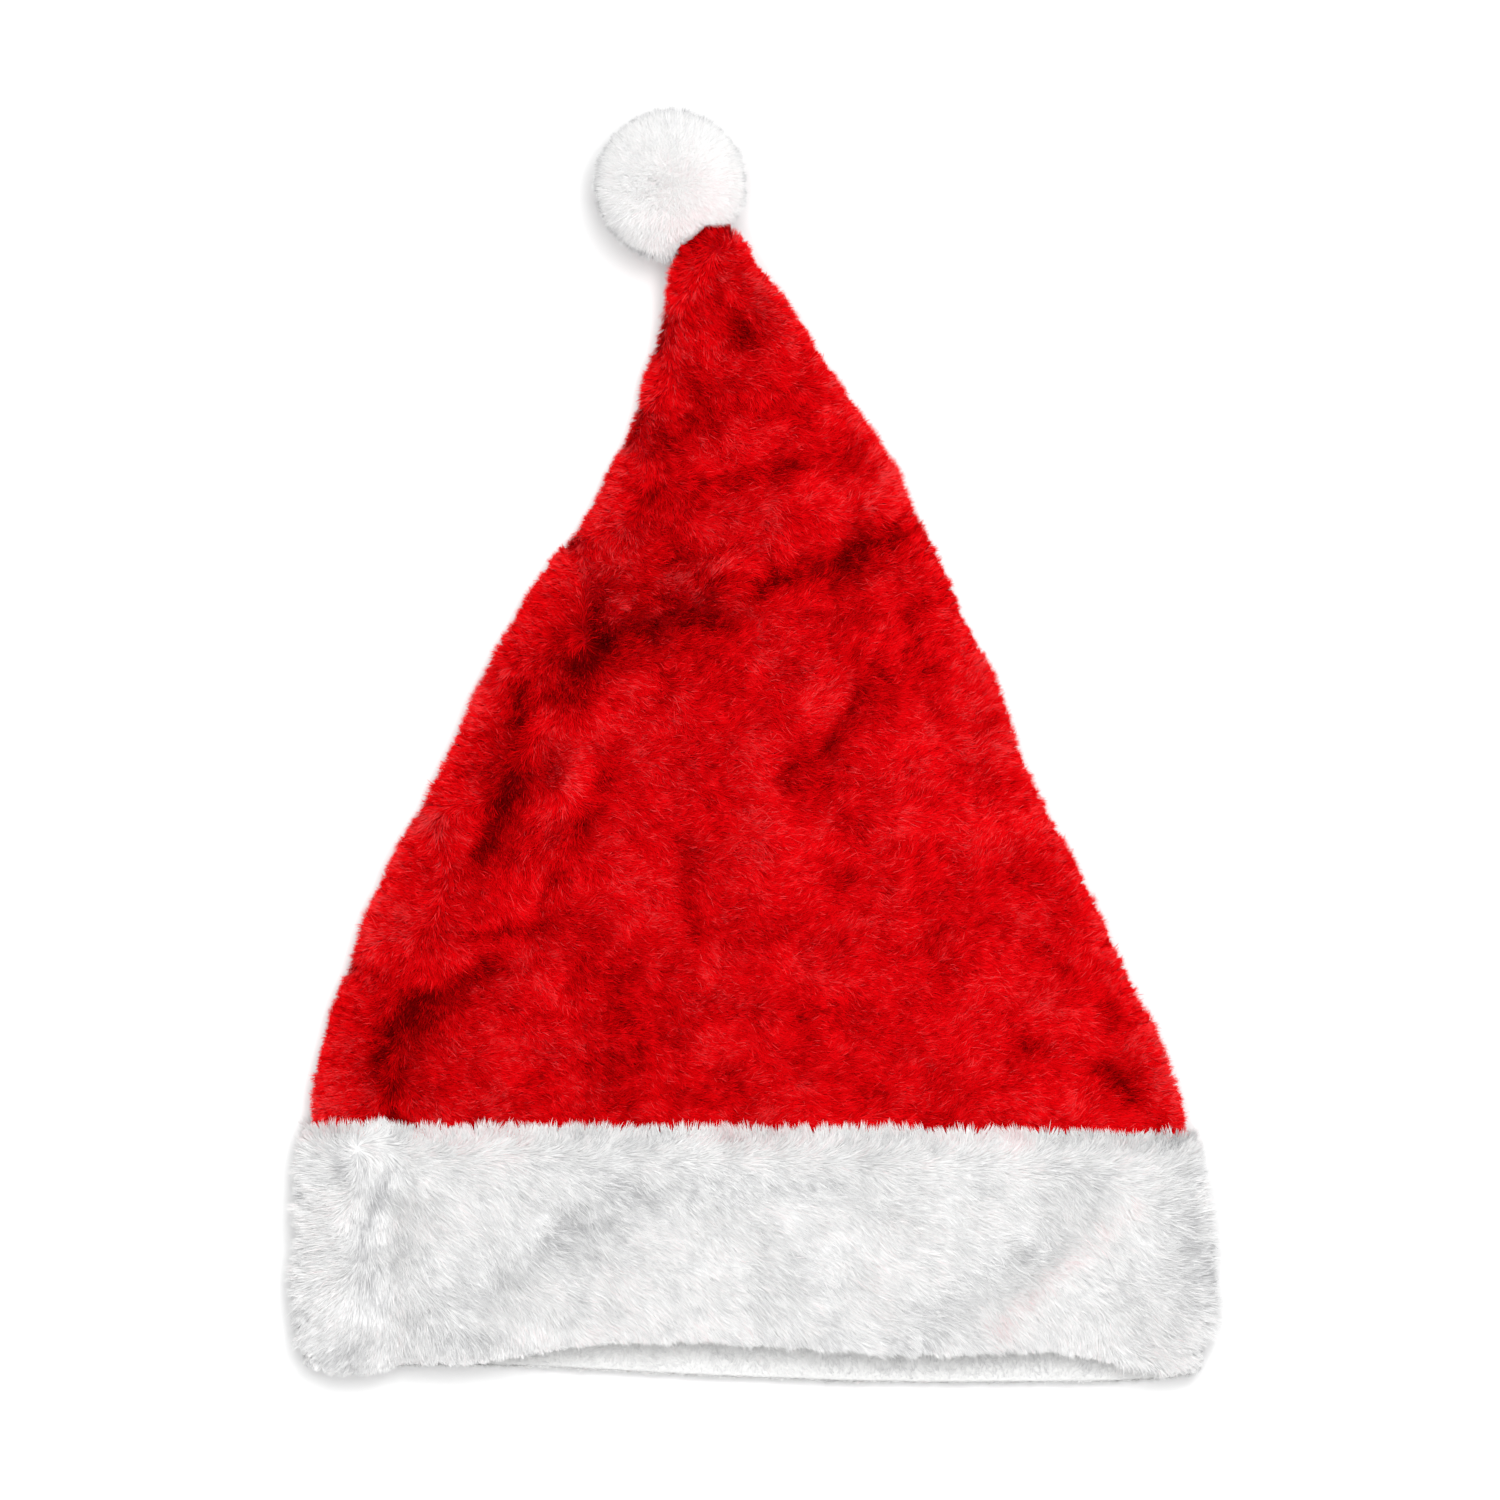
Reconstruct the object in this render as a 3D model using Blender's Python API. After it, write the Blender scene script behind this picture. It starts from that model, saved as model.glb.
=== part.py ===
"""Santa hat laid flat: a hollow plush crown, a wide faux-fur band round its mouth and a pompom on its tip.

Metres, +Z up. The hat lies on its back on the plane z = 0, with its tip towards +Y and its mouth
towards -Y. The origin is the centre of the whole hat's footprint, on the surface that it lies on.
"""

import math
from typing import NamedTuple

import bmesh
import bpy
import numpy as np

MM = 0.001

# Cloth thicknesses and the clearance between sewn pieces, in millimetres
CROWN_WALL = 2.6
BAND_RIM_PROUD = 3.8
BAND_MIDDLE_PROUD = 6.2
BAND_SWELL_POWER = 0.5
SEAM_GAP = 0.5
FLOOR_Z = 0.0

# Seam between crown and band: both edges slope a little down to the right
SEAM_SLOPE = -0.0088
BAND_TOP_Y = -122.4
CROWN_HEM_Y = -131.0
SLOPE_FADES_AT_Y = -60.0

# Sampling of every section, so that neighbouring cloths keep the same facets
TOP_POINTS = 56
UNDER_POINTS = 20
EDGE_HEIGHT_SHARE = 0.42
SIDE_POWER = 0.92
TOP_POWER = 0.72
UNDER_POWER = 0.4
UNDER_FLATNESS = 1.38
FOLD_REACH = 1.3
HEM_BLEND = 1.6
LOCK_REACH = 0.35


class Section(NamedTuple):
    """The cloth's section at one place along the hat: its two sides, its height and its underside's height."""

    y: float
    left: float
    right: float
    loft: float
    lift: float


class Fold(NamedTuple):
    """A fold or dent of the upper cloth: a line between two points, its half-width and its height."""

    x1: float
    y1: float
    x2: float
    y2: float
    width: float
    height: float


class Hem(NamedTuple):
    """The mouth's edge at one place across the hat: how far the band's front and back come down."""

    x: float
    front: float
    back: float


class BandRow(NamedTuple):
    """One row of the band's wall.

    along runs from 0 at the hem to 1 at the top edge, depth from 0 on the fur to 1 on the lining face,
    and fur is the share of a full lock.
    """

    along: float
    depth: float
    fur: float


# Columns: y, left, right, loft, lift
SECTION_TABLE = (
    (-206.0, -141.0, 141.0, 17.2, 4.4),
    (-192.0, -142.4, 141.8, 18.2, 4.4),
    (-173.0, -143.2, 142.2, 20.2, 4.4),
    (-152.0, -142.0, 140.4, 21.2, 4.4),
    (-137.0, -141.6, 139.2, 21.6, 4.1),
    (-123.0, -141.0, 138.0, 21.8, 3.1),
    (-103.0, -138.6, 132.5, 22.7, 1.0),
    (-71.0, -129.3, 118.1, 23.0, 0.0),
    (-39.0, -116.2, 102.8, 23.0, 0.0),
    (-7.0, -98.6, 86.6, 22.5, 0.0),
    (25.0, -84.0, 74.7, 22.0, 0.0),
    (41.0, -75.0, 66.7, 21.5, 0.0),
    (57.0, -65.6, 59.9, 21.0, 0.0),
    (73.0, -53.0, 52.0, 20.0, 0.0),
    (89.0, -45.0, 44.2, 19.0, 0.2),
    (105.0, -37.9, 34.0, 18.0, 0.8),
    (121.0, -33.2, 23.1, 16.5, 2.6),
    (142.0, -27.5, 10.3, 14.5, 9.5),
    (155.0, -23.6, 0.0, 13.0, 16.5),
    (161.5, -19.6, -4.4, 11.5, 20.5),
    (167.0, -15.2, -8.6, 7.5, 25.0),
)

# Columns: x1, y1, x2, y2, width, height
FOLD_TABLE = (
    # The long slanting fold over the middle
    (-53.0, 28.5, -38.0, 35.5, 8.5, -5.8),
    (-30.0, 37.0, -5.0, 40.0, 7.5, -3.0),
    (-46.0, 42.0, -6.0, 55.0, 8.0, 3.4),
    (3.0, 56.5, 21.0, 57.5, 7.5, -4.0),
    (28.0, 62.5, 47.0, 67.0, 8.0, -4.6),
    (-12.0, 66.0, 40.0, 80.0, 9.5, 2.2),
    (-2.0, 47.5, 17.0, 44.5, 3.5, 1.6),
    # Small creases near the tip
    (-8.0, 134.0, -1.0, 134.0, 7.0, -2.8),
    (-24.0, 109.0, 10.0, 108.0, 4.5, -1.3),
    (-17.0, 80.0, 2.0, 82.5, 3.5, -2.0),
    # The valleys and the ridge along the left side
    (-72.0, 8.0, -85.0, -24.0, 8.0, -4.4),
    (-59.0, -7.0, -70.0, -38.0, 6.0, 3.0),
    (-50.0, -12.0, -64.0, -34.0, 5.5, -2.2),
    (-67.0, -38.0, -71.0, -55.0, 5.0, -2.6),
    (-109.0, -46.0, -97.0, -66.0, 9.0, 2.0),
    # The crease that curves out of the band and up the crown
    (-75.0, -64.0, -98.0, -75.0, 5.0, -3.0),
    (-98.0, -75.0, -111.0, -86.0, 6.0, -4.6),
    (-113.0, -92.0, -117.0, -114.0, 6.0, -4.6),
    (-118.0, -124.0, -120.5, -152.0, 8.0, -4.2),
    (-121.0, -158.0, -117.0, -192.0, 8.0, -3.4),
    (-131.0, -128.0, -132.0, -190.0, 8.0, 2.6),
    # Dents of the open field
    (-26.0, -36.0, -20.0, -53.0, 8.0, -2.6),
    (-47.0, -80.0, -30.0, -88.0, 8.0, -2.0),
    (-72.0, -100.0, -54.0, -104.0, 7.0, -1.6),
    (6.0, -8.0, 21.0, -1.0, 4.0, -2.4),
    (21.0, -1.0, 29.0, 18.0, 4.5, -2.6),
    (12.0, 10.0, 18.0, 20.0, 6.0, 1.6),
    (56.0, 2.0, 68.0, -6.0, 5.0, -1.5),
    (109.0, -104.0, 121.0, -111.0, 7.0, -3.2),
    # Hollows and ridges of the fur band
    (-91.0, -169.0, -66.0, -148.0, 10.0, -2.6),
    (-60.0, -144.0, 30.0, -139.0, 11.0, -2.2),
    (62.0, -176.0, 88.0, -147.0, 10.0, -2.6),
    (83.0, -181.0, 118.0, -140.0, 6.0, 2.4),
    (108.0, -174.0, 122.0, -180.0, 8.0, -2.2),
)

# Columns: x, front, back
HEM_TABLE = (
    (-150.0, -188.0, -188.0),
    (-146.0, -194.5, -194.0),
    (-141.0, -198.0, -197.0),
    (-133.0, -200.0, -198.6),
    (-122.0, -199.8, -199.0),
    (-111.0, -196.4, -199.2),
    (-92.0, -196.4, -199.0),
    (-70.0, -193.0, -200.0),
    (-48.0, -190.8, -201.0),
    (-16.0, -189.8, -202.2),
    (30.0, -192.6, -203.2),
    (63.0, -193.6, -203.6),
    (92.0, -192.4, -203.4),
    (112.0, -195.6, -203.2),
    (127.0, -198.6, -202.4),
    (136.0, -200.0, -201.4),
    (143.0, -198.0, -198.0),
    (148.0, -192.0, -192.0),
    (151.0, -187.0, -187.0),
)

# The band's rows of fur, and the columns along, depth and fur of those round its hem and up its inside
BAND_OUTER_ROWS = 14
BAND_LIP_ROWS = ((0.0, 0.28, 0.4), (-0.012, 0.6, 0.0))
BAND_INNER_ROWS = ((0.015, 1.0, 0.0), (0.22, 1.0, 0.0), (0.45, 1.0, 0.0), (0.68, 1.0, 0.0))
RIM_FUR = 0.35
LOCK_HEIGHT = 3.0
LOCK_ROOT = 0.8
LOCK_SWEEP = 3.4

# Stations of the crown's outer and inner skins
CROWN_OUTER_Y = (
    -131.0, -122.0, -110.0, -97.0, -84.0, -71.0, -58.0, -46.0, -34.0, -22.0, -10.0, 2.0, 13.0,
    22.0, 29.0, 35.0, 41.0, 47.0, 53.0, 59.0, 65.0, 73.0, 83.0, 95.0, 108.0, 120.0, 128.0, 134.0, 140.0,
    148.0, 155.0, 161.5, 166.0,
)
CROWN_INNER_Y = (
    -131.0, -109.0, -84.0, -58.0, -34.0, -12.0, 10.0, 28.0, 42.0, 57.0, 75.0, 100.0, 125.0, 142.0, 152.0,
)

# Pompom
POMPOM_CENTRE = (-26.4, 179.2, 23.4)
POMPOM_RADIUS = 21.6
POMPOM_LOCK = 3.0
POMPOM_LOCK_SWEEP = 1.0
POMPOM_SUBDIVISIONS = 3
NOTCH_ABOVE = 16.0
NOTCH_FLARE = 3.0
NOTCH_SPREAD = 0.5
NOTCH_Y = (140.0, 148.0, 155.0, 161.5, 166.0)

SECTIONS = tuple(Section(*row) for row in SECTION_TABLE)
FOLDS = tuple(Fold(*row) for row in FOLD_TABLE)
HEMS = tuple(Hem(*row) for row in HEM_TABLE)

COLOURS = {
    "crown": (0.62, 0.003, 0.010, 1.0),
    "band": (0.88, 0.88, 0.88, 1.0),
    "pompom": (0.90, 0.90, 0.90, 1.0),
}
CLOTH_ROUGHNESS = 0.9
LOCK_EDGE_ANGLE = math.radians(30)


def clear_scene():
    """Removes every object of the startup scene."""
    for obj in list(bpy.data.objects):
        bpy.data.objects.remove(obj)


def column(rows, name):
    """One named column of a table, as an array."""
    return np.array([getattr(row, name) for row in rows], float)


def smooth_read(places, values, at):
    """Reads a smooth curve through the points (places, values), by cubic Hermite pieces."""
    slopes = np.gradient(values, places)
    i = int(np.clip(np.searchsorted(places, at) - 1, 0, len(places) - 2))
    span = places[i + 1] - places[i]
    t = min(1.0, max(0.0, (at - places[i]) / span))
    start = values[i] * (1 + 2 * t) * (1 - t) ** 2 + slopes[i] * span * t * (1 - t) ** 2
    end = values[i + 1] * t * t * (3 - 2 * t) - slopes[i + 1] * span * t * t * (1 - t)
    return start + end


def section_at(y):
    """Left side, right side, height and underside height of the cloth's section at y."""
    places = column(SECTIONS, "y")
    return [smooth_read(places, column(SECTIONS, name), y) for name in Section._fields[1:]]


def fold_height(x, y):
    """How far the folds raise or lower the upper cloth at a point of the plan."""
    total = 0.0
    for fold in FOLDS:
        dx, dy = fold.x2 - fold.x1, fold.y2 - fold.y1
        t = ((x - fold.x1) * dx + (y - fold.y1) * dy) / (dx * dx + dy * dy)
        t = min(1.0, max(0.0, t))
        away = math.hypot(x - fold.x1 - t * dx, y - fold.y1 - t * dy)
        total += fold.height * math.exp(-((away / fold.width) ** 2))
    return total


def cloth_point(y, angle, offset):
    """A point offset outwards from the cloth's outer surface. Angle 0 is the right side, 90 degrees the top."""
    left, right, loft, lift = section_at(y)
    half_width = (right - left) / 2 + offset
    edge = lift + EDGE_HEIGHT_SHARE * loft
    run, rise = math.cos(angle), math.sin(angle)
    x = (left + right) / 2 + half_width * math.copysign(abs(run) ** SIDE_POWER, run)
    if rise >= 0:
        top = (1 - EDGE_HEIGHT_SHARE) * loft + offset
        share = rise**TOP_POWER
        z = edge + top * share + fold_height(x, y) * min(1.0, FOLD_REACH * share) * share
    else:
        bottom = EDGE_HEIGHT_SHARE * loft + offset
        z = edge - bottom * min(1.0, UNDER_FLATNESS * abs(rise) ** UNDER_POWER)
    return x, y, max(z, FLOOR_Z + max(0.0, -offset))


def section_angles():
    """The angles of a section's points: close on the upper cloth, further apart on the flat underside."""
    top = [math.pi * i / TOP_POINTS for i in range(TOP_POINTS)]
    under = [math.pi * (1 + i / UNDER_POINTS) for i in range(UNDER_POINTS)]
    return top + under


def slope_at(y):
    """The slope of a crown ring: the seam's at the hem, and none further up."""
    share = (SLOPE_FADES_AT_Y - y) / (SLOPE_FADES_AT_Y - CROWN_HEM_Y)
    return SEAM_SLOPE * min(1.0, max(0.0, share))


def crown_ring(station, offset):
    """One ring of the crown's skin."""
    ring = []
    for angle in section_angles():
        x = cloth_point(station, angle, offset)[0]
        ring.append(cloth_point(station + slope_at(station) * x, angle, offset))
    return ring


def hem_y(x, angle):
    """Where the mouth's edge is, for the front or the back of the band, blended round the sides."""
    places = column(HEMS, "x")
    front, back = (float(np.interp(x, places, column(HEMS, name))) for name in Hem._fields[1:])
    share = min(1.0, max(0.0, 0.5 + HEM_BLEND * math.sin(angle)))
    return back + (front - back) * share


def band_proud(along):
    """How far the fur stands out of the crown's cloth: least at the top edge and fullest in the middle."""
    swell = math.sin(math.pi * min(1.0, max(0.0, along))) ** BAND_SWELL_POWER
    return BAND_RIM_PROUD + (BAND_MIDDLE_PROUD - BAND_RIM_PROUD) * swell


def band_point(row, row_number, index, angle):
    """A point of the band's wall. Every second point of every second row is the tip of a lock."""
    x = cloth_point(BAND_TOP_Y, angle, 0)[0]
    top = BAND_TOP_Y + SEAM_SLOPE * x
    y = hem_y(x, angle) * (1 - row.along) + top * row.along
    fur = row.fur * max(0.0, math.sin(angle)) ** LOCK_REACH
    raised = float(row_number % 2 == 0 and (index + row_number // 2) % 2 == 0)
    proud = band_proud(row.along) + (LOCK_HEIGHT * raised - LOCK_ROOT) * fur
    offset = proud + (-CROWN_WALL - proud) * row.depth
    return cloth_point(y - LOCK_SWEEP * raised * fur, angle, offset)


def band_rows():
    """The profile of the band's wall, from its top edge over the fur, round the hem and up the inside."""
    rows = [BandRow(1.0, 0.0, RIM_FUR)]
    rows += [BandRow(1.0 - i / BAND_OUTER_ROWS, 0.0, 1.0) for i in range(1, BAND_OUTER_ROWS)]
    return rows + [BandRow(*row) for row in BAND_LIP_ROWS + BAND_INNER_ROWS]


def band_rings():
    """All rings of the band: fur, lip, lining face, and the rebate that holds the crown's hem."""
    angles = section_angles()
    rings = []
    for number, row in enumerate(band_rows()):
        rings.append([band_point(row, number, i, angle) for i, angle in enumerate(angles)])
    step = CROWN_HEM_Y - SEAM_GAP
    for station, offset in ((step, -CROWN_WALL), (step, SEAM_GAP), (BAND_TOP_Y, SEAM_GAP)):
        ring = []
        for angle in angles:
            x = cloth_point(station, angle, offset)[0]
            ring.append(cloth_point(station + SEAM_SLOPE * x, angle, offset))
        rings.append(ring)
    return rings


def shade(mesh, locks):
    """Rounds a mesh's shading, and keeps the ridges between locks sharp."""
    mesh.shade_smooth()
    if locks:
        mesh.set_sharp_from_angle(angle=LOCK_EDGE_ANGLE)


def loft(name, rings, caps, closed, locks=False):
    """A mesh object skinned through rings of points given in millimetres."""
    mesh = bpy.data.meshes.new(name)
    shape = bmesh.new()
    verts = [[shape.verts.new([c * MM for c in point]) for point in ring] for ring in rings]
    pairs = list(zip(verts, verts[1:]))
    if closed:
        pairs.append((verts[-1], verts[0]))
    for lower, upper in pairs:
        for i in range(len(lower)):
            j = (i + 1) % len(lower)
            shape.faces.new((lower[i], lower[j], upper[j], upper[i]))
    if caps:
        shape.faces.new(verts[0])
        shape.faces.new(verts[-1])
    bmesh.ops.recalc_face_normals(shape, faces=shape.faces[:])
    bmesh.ops.triangulate(shape, faces=shape.faces[:])
    shape.to_mesh(mesh)
    shape.free()
    shade(mesh, locks)
    return bpy.data.objects.new(name, mesh)


def cloth_material(name):
    """A matt cloth in the named colour."""
    material = bpy.data.materials.new(name)
    material.use_nodes = True
    shader = material.node_tree.nodes["Principled BSDF"]
    shader.inputs["Base Color"].default_value = COLOURS[name]
    shader.inputs["Roughness"].default_value = CLOTH_ROUGHNESS
    shader.inputs["Metallic"].default_value = 0.0
    return material


def make_crown():
    """The red plush cone: one sewn wall, open at the mouth and closed at the tip."""
    inner = [crown_ring(y, -CROWN_WALL) for y in reversed(CROWN_INNER_Y)]
    outer = [crown_ring(y, 0.0) for y in CROWN_OUTER_Y]
    return loft("crown", inner + outer, caps=True, closed=False)


def make_band():
    """The white fur band: a folded, padded ring with locks on its outside and a rebate for the crown."""
    return loft("band", band_rings(), caps=False, closed=True, locks=True)


def make_pompom_ball():
    """The fur ball: a head whose faces are drawn out into short locks, flat where it lies."""
    mesh = bpy.data.meshes.new("pompom")
    shape = bmesh.new()
    bmesh.ops.create_icosphere(shape, subdivisions=POMPOM_SUBDIVISIONS, radius=POMPOM_RADIUS * MM)
    poked = bmesh.ops.poke(shape, faces=shape.faces[:], offset=0.0)
    for vert in poked["verts"]:
        direction = vert.co.normalized()
        vert.co = direction * (POMPOM_RADIUS + POMPOM_LOCK) * MM
        vert.co.y -= POMPOM_LOCK_SWEEP * MM * (1 - abs(direction.y))
    for vert in shape.verts:
        vert.co.z = max(vert.co.z, -POMPOM_CENTRE[2] * MM)
    bmesh.ops.recalc_face_normals(shape, faces=shape.faces[:])
    shape.to_mesh(mesh)
    shape.free()
    shade(mesh, locks=True)
    ball = bpy.data.objects.new("pompom", mesh)
    ball.location = [c * MM for c in POMPOM_CENTRE]
    return ball


def notch_ring(station):
    """A ring round the crown's tip with the seam's gap, whose upper half flares up through the fur."""
    ring = []
    for angle in section_angles():
        x, y, z = cloth_point(station, angle, SEAM_GAP)
        up = max(0.0, math.sin(angle)) ** NOTCH_SPREAD
        ring.append((x + NOTCH_FLARE * up * math.cos(angle), y, z + NOTCH_ABOVE * up))
    return ring


def make_notch_cutter():
    """The cutter that parts the pompom's fur where the crown's tip is sewn in."""
    rings = [notch_ring(y) for y in NOTCH_Y]
    rings.append([(x, y + SEAM_GAP, z) for x, y, z in rings[-1]])
    return loft("pompom_notch", rings, caps=True, closed=False)


def cut(target, cutter):
    """Takes the cutter's shape out of the target."""
    modifier = target.modifiers.new("notch", "BOOLEAN")
    modifier.operation = "DIFFERENCE"
    modifier.solver = "EXACT"
    modifier.object = cutter
    cutter.hide_render = True
    cutter.display_type = "WIRE"


def main():
    """Builds the hat's three pieces in one collection and the cutter in another."""
    clear_scene()
    hat = bpy.data.collections.new("santa_hat")
    cutters = bpy.data.collections.new("cutters")
    bpy.context.scene.collection.children.link(hat)
    bpy.context.scene.collection.children.link(cutters)
    crown = make_crown()
    band = make_band()
    pompom = make_pompom_ball()
    for piece in (crown, band, pompom):
        hat.objects.link(piece)
        piece.data.materials.append(cloth_material(piece.name))
    notch = make_notch_cutter()
    cutters.objects.link(notch)
    cut(pompom, notch)


if __name__ == "__main__":
    main()
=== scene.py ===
"""Looks of a plush Santa hat that lies on a pale floor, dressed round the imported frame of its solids.

The red crown, the white fur band and the pompom each get a fine cloth or core in their solid's place. A
Geometry Nodes tree plants a pile of tapered, bent hairs on it, combed as each place is combed in the
photograph. Lengths are millimetres, and a mesh is written in metres.
"""

import logging
import math
from dataclasses import dataclass
from enum import Enum
from typing import Any, Dict, List, NamedTuple, Optional, Sequence, Tuple

import bpy
import numpy as np
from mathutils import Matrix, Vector


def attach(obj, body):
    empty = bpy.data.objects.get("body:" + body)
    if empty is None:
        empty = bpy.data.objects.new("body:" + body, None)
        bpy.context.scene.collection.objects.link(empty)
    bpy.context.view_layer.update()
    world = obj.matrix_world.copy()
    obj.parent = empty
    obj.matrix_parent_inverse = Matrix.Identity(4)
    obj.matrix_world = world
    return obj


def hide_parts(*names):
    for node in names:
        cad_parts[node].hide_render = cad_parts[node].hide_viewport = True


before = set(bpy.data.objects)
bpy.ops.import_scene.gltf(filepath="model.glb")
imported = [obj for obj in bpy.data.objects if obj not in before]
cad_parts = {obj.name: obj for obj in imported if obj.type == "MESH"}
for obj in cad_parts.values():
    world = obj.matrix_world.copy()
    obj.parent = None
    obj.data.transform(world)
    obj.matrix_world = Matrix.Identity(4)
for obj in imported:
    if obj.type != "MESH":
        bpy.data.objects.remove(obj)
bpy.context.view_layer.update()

LOG = logging.getLogger("santa_hat")
MM = 0.001
BODY = "root"

# The cloth of crown and band, as the solids have it
CROWN_WALL = 2.6
CLOTH_DEPTH = 1.5
SEAM_SLOPE = -0.0088
SEAM_GAP = 0.5
BAND_TOP_Y = -122.4
CROWN_HEM_Y = -131.0
CROWN_TIP_Y = 167.0
SLOPE_FADES_AT_Y = -60.0
EDGE_HEIGHT_SHARE = 0.42
SIDE_POWER = 0.92
TOP_POWER = 0.72
UNDER_POWER = 0.4
UNDER_FLATNESS = 1.38
FOLD_REACH = 1.3
HEM_BLEND = 1.6
HEM_INSET = 2.0
FLOOR_Z = 0.0


class Section(NamedTuple):
    """The cloth's section at one place along the hat: its sides, its height and its underside's height."""

    y: float
    left: float
    right: float
    loft: float
    lift: float


class Fold(NamedTuple):
    """A fold or dent of the upper cloth: a line between two points, its half-width and its height."""

    x1: float
    y1: float
    x2: float
    y2: float
    width: float
    height: float


class Hem(NamedTuple):
    """The mouth's edge at one place across the hat: how far the band's front and back come down."""

    x: float
    front: float
    back: float


class Comb(NamedTuple):
    """How the pile is combed round one place.

    toward is the way the tips point, in degrees from down the hat (-Y) towards the right, rise is how far
    the hairs stand up from the cloth in degrees, and reach is how far the place's rule holds.
    """

    x: float
    y: float
    toward: float
    rise: float
    reach: float


class Shade(NamedTuple):
    """A place whose hairs are lighter or darker: a line between two points, its half-width and its change,
    which is painted shade where it darkens and a painted highlight where it lightens.
    """

    x1: float
    y1: float
    x2: float
    y2: float
    width: float
    change: float


# Columns: y, left, right, loft, lift
SECTIONS = tuple(Section(*row) for row in (
    (-206.0, -141.0, 141.0, 17.2, 4.4),
    (-192.0, -142.4, 141.8, 18.2, 4.4),
    (-173.0, -142.8, 143.4, 20.2, 4.4),
    (-152.0, -141.4, 141.6, 21.2, 4.4),
    (-137.0, -141.6, 139.2, 21.6, 4.1),
    (-123.0, -141.0, 138.0, 21.8, 3.1),
    (-103.0, -138.6, 132.5, 22.7, 1.0),
    (-71.0, -129.3, 118.1, 23.0, 0.0),
    (-39.0, -116.2, 102.8, 23.0, 0.0),
    (-7.0, -98.6, 86.6, 22.5, 0.0),
    (25.0, -84.0, 74.7, 22.0, 0.0),
    (41.0, -75.0, 66.7, 21.5, 0.0),
    (57.0, -65.6, 59.9, 21.0, 0.0),
    (73.0, -53.0, 52.0, 20.0, 0.0),
    (89.0, -45.0, 44.2, 19.0, 0.2),
    (105.0, -37.9, 34.0, 18.0, 0.8),
    (121.0, -33.2, 23.1, 16.5, 2.6),
    (142.0, -27.5, 10.3, 14.5, 9.5),
    (155.0, -24.6, 0.0, 13.0, 16.5),
    (161.5, -21.6, -3.8, 11.5, 20.5),
    (167.0, -15.4, -8.6, 7.5, 25.0),
))

# Columns: x1, y1, x2, y2, width, height
FOLDS = tuple(Fold(*row) for row in (
    # The long slanting fold over the middle
    (-53.0, 28.5, -38.0, 35.5, 8.5, -6.6),
    (-30.0, 37.0, -5.0, 40.0, 7.5, -3.0),
    (-46.0, 42.0, -6.0, 55.0, 8.0, 3.4),
    (3.0, 56.5, 21.0, 57.5, 7.5, -4.0),
    (28.0, 62.5, 47.0, 67.0, 8.0, -4.6),
    (-12.0, 66.0, 40.0, 80.0, 9.5, 2.2),
    (-2.0, 47.5, 17.0, 44.5, 3.5, 1.6),
    # Small creases near the tip
    (-8.0, 134.0, -1.0, 134.0, 7.0, -2.8),
    (-24.0, 109.0, 10.0, 108.0, 4.5, -1.3),
    (-17.0, 80.0, 2.0, 82.5, 3.5, -2.0),
    # The valleys and the ridge along the left side
    (-72.0, 8.0, -85.0, -24.0, 8.0, -4.4),
    (-59.0, -7.0, -70.0, -38.0, 6.0, 3.0),
    (-50.0, -12.0, -64.0, -34.0, 5.5, -2.2),
    (-67.0, -38.0, -71.0, -55.0, 5.0, -2.6),
    (-109.0, -46.0, -97.0, -66.0, 9.0, 2.0),
    # The crease that curves out of the band and up the crown
    (-75.0, -64.0, -98.0, -75.0, 5.0, -3.0),
    (-98.0, -75.0, -111.0, -86.0, 6.0, -4.6),
    (-113.0, -92.0, -117.0, -114.0, 6.0, -4.6),
    (-118.0, -124.0, -120.5, -152.0, 8.0, -4.2),
    (-121.0, -167.0, -117.0, -192.0, 8.0, -3.4),
    (-131.0, -128.0, -132.0, -190.0, 8.0, 2.6),
    # Dents of the open field
    (-26.0, -36.0, -20.0, -53.0, 8.0, -2.6),
    (-47.0, -80.0, -30.0, -88.0, 8.0, -2.0),
    (-72.0, -100.0, -54.0, -104.0, 7.0, -1.6),
    (6.0, -8.0, 21.0, -1.0, 4.0, -2.4),
    (21.0, -1.0, 29.0, 18.0, 4.5, -2.6),
    (12.0, 10.0, 18.0, 20.0, 6.0, 1.6),
    (56.0, 2.0, 68.0, -6.0, 5.0, -1.5),
    (109.0, -104.0, 121.0, -111.0, 7.0, -3.2),
    # Hollows and ridges of the fur band
    (-91.0, -169.0, -66.0, -148.0, 10.0, -2.6),
    (-60.0, -144.0, 30.0, -139.0, 11.0, -2.2),
    (62.0, -176.0, 88.0, -147.0, 10.0, -2.6),
    (83.0, -181.0, 118.0, -140.0, 6.0, 2.4),
    (108.0, -174.0, 122.0, -180.0, 8.0, -2.2),
))

# Columns: x, front, back
HEMS = tuple(Hem(*row) for row in (
    (-150.0, -188.0, -188.0),
    (-146.0, -194.5, -194.0),
    (-141.0, -198.0, -197.0),
    (-133.0, -200.0, -198.6),
    (-122.0, -199.8, -199.0),
    (-111.0, -196.4, -198.0),
    (-92.0, -197.0, -197.8),
    (-70.0, -193.6, -198.4),
    (-48.0, -190.0, -199.6),
    (-16.0, -189.4, -201.4),
    (30.0, -192.6, -203.2),
    (63.0, -193.6, -203.6),
    (92.0, -192.4, -203.4),
    (112.0, -195.6, -203.2),
    (127.0, -198.6, -202.4),
    (136.0, -200.0, -201.4),
    (143.0, -198.0, -198.0),
    (148.0, -192.0, -192.0),
    (151.0, -187.0, -187.0),
))

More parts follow.
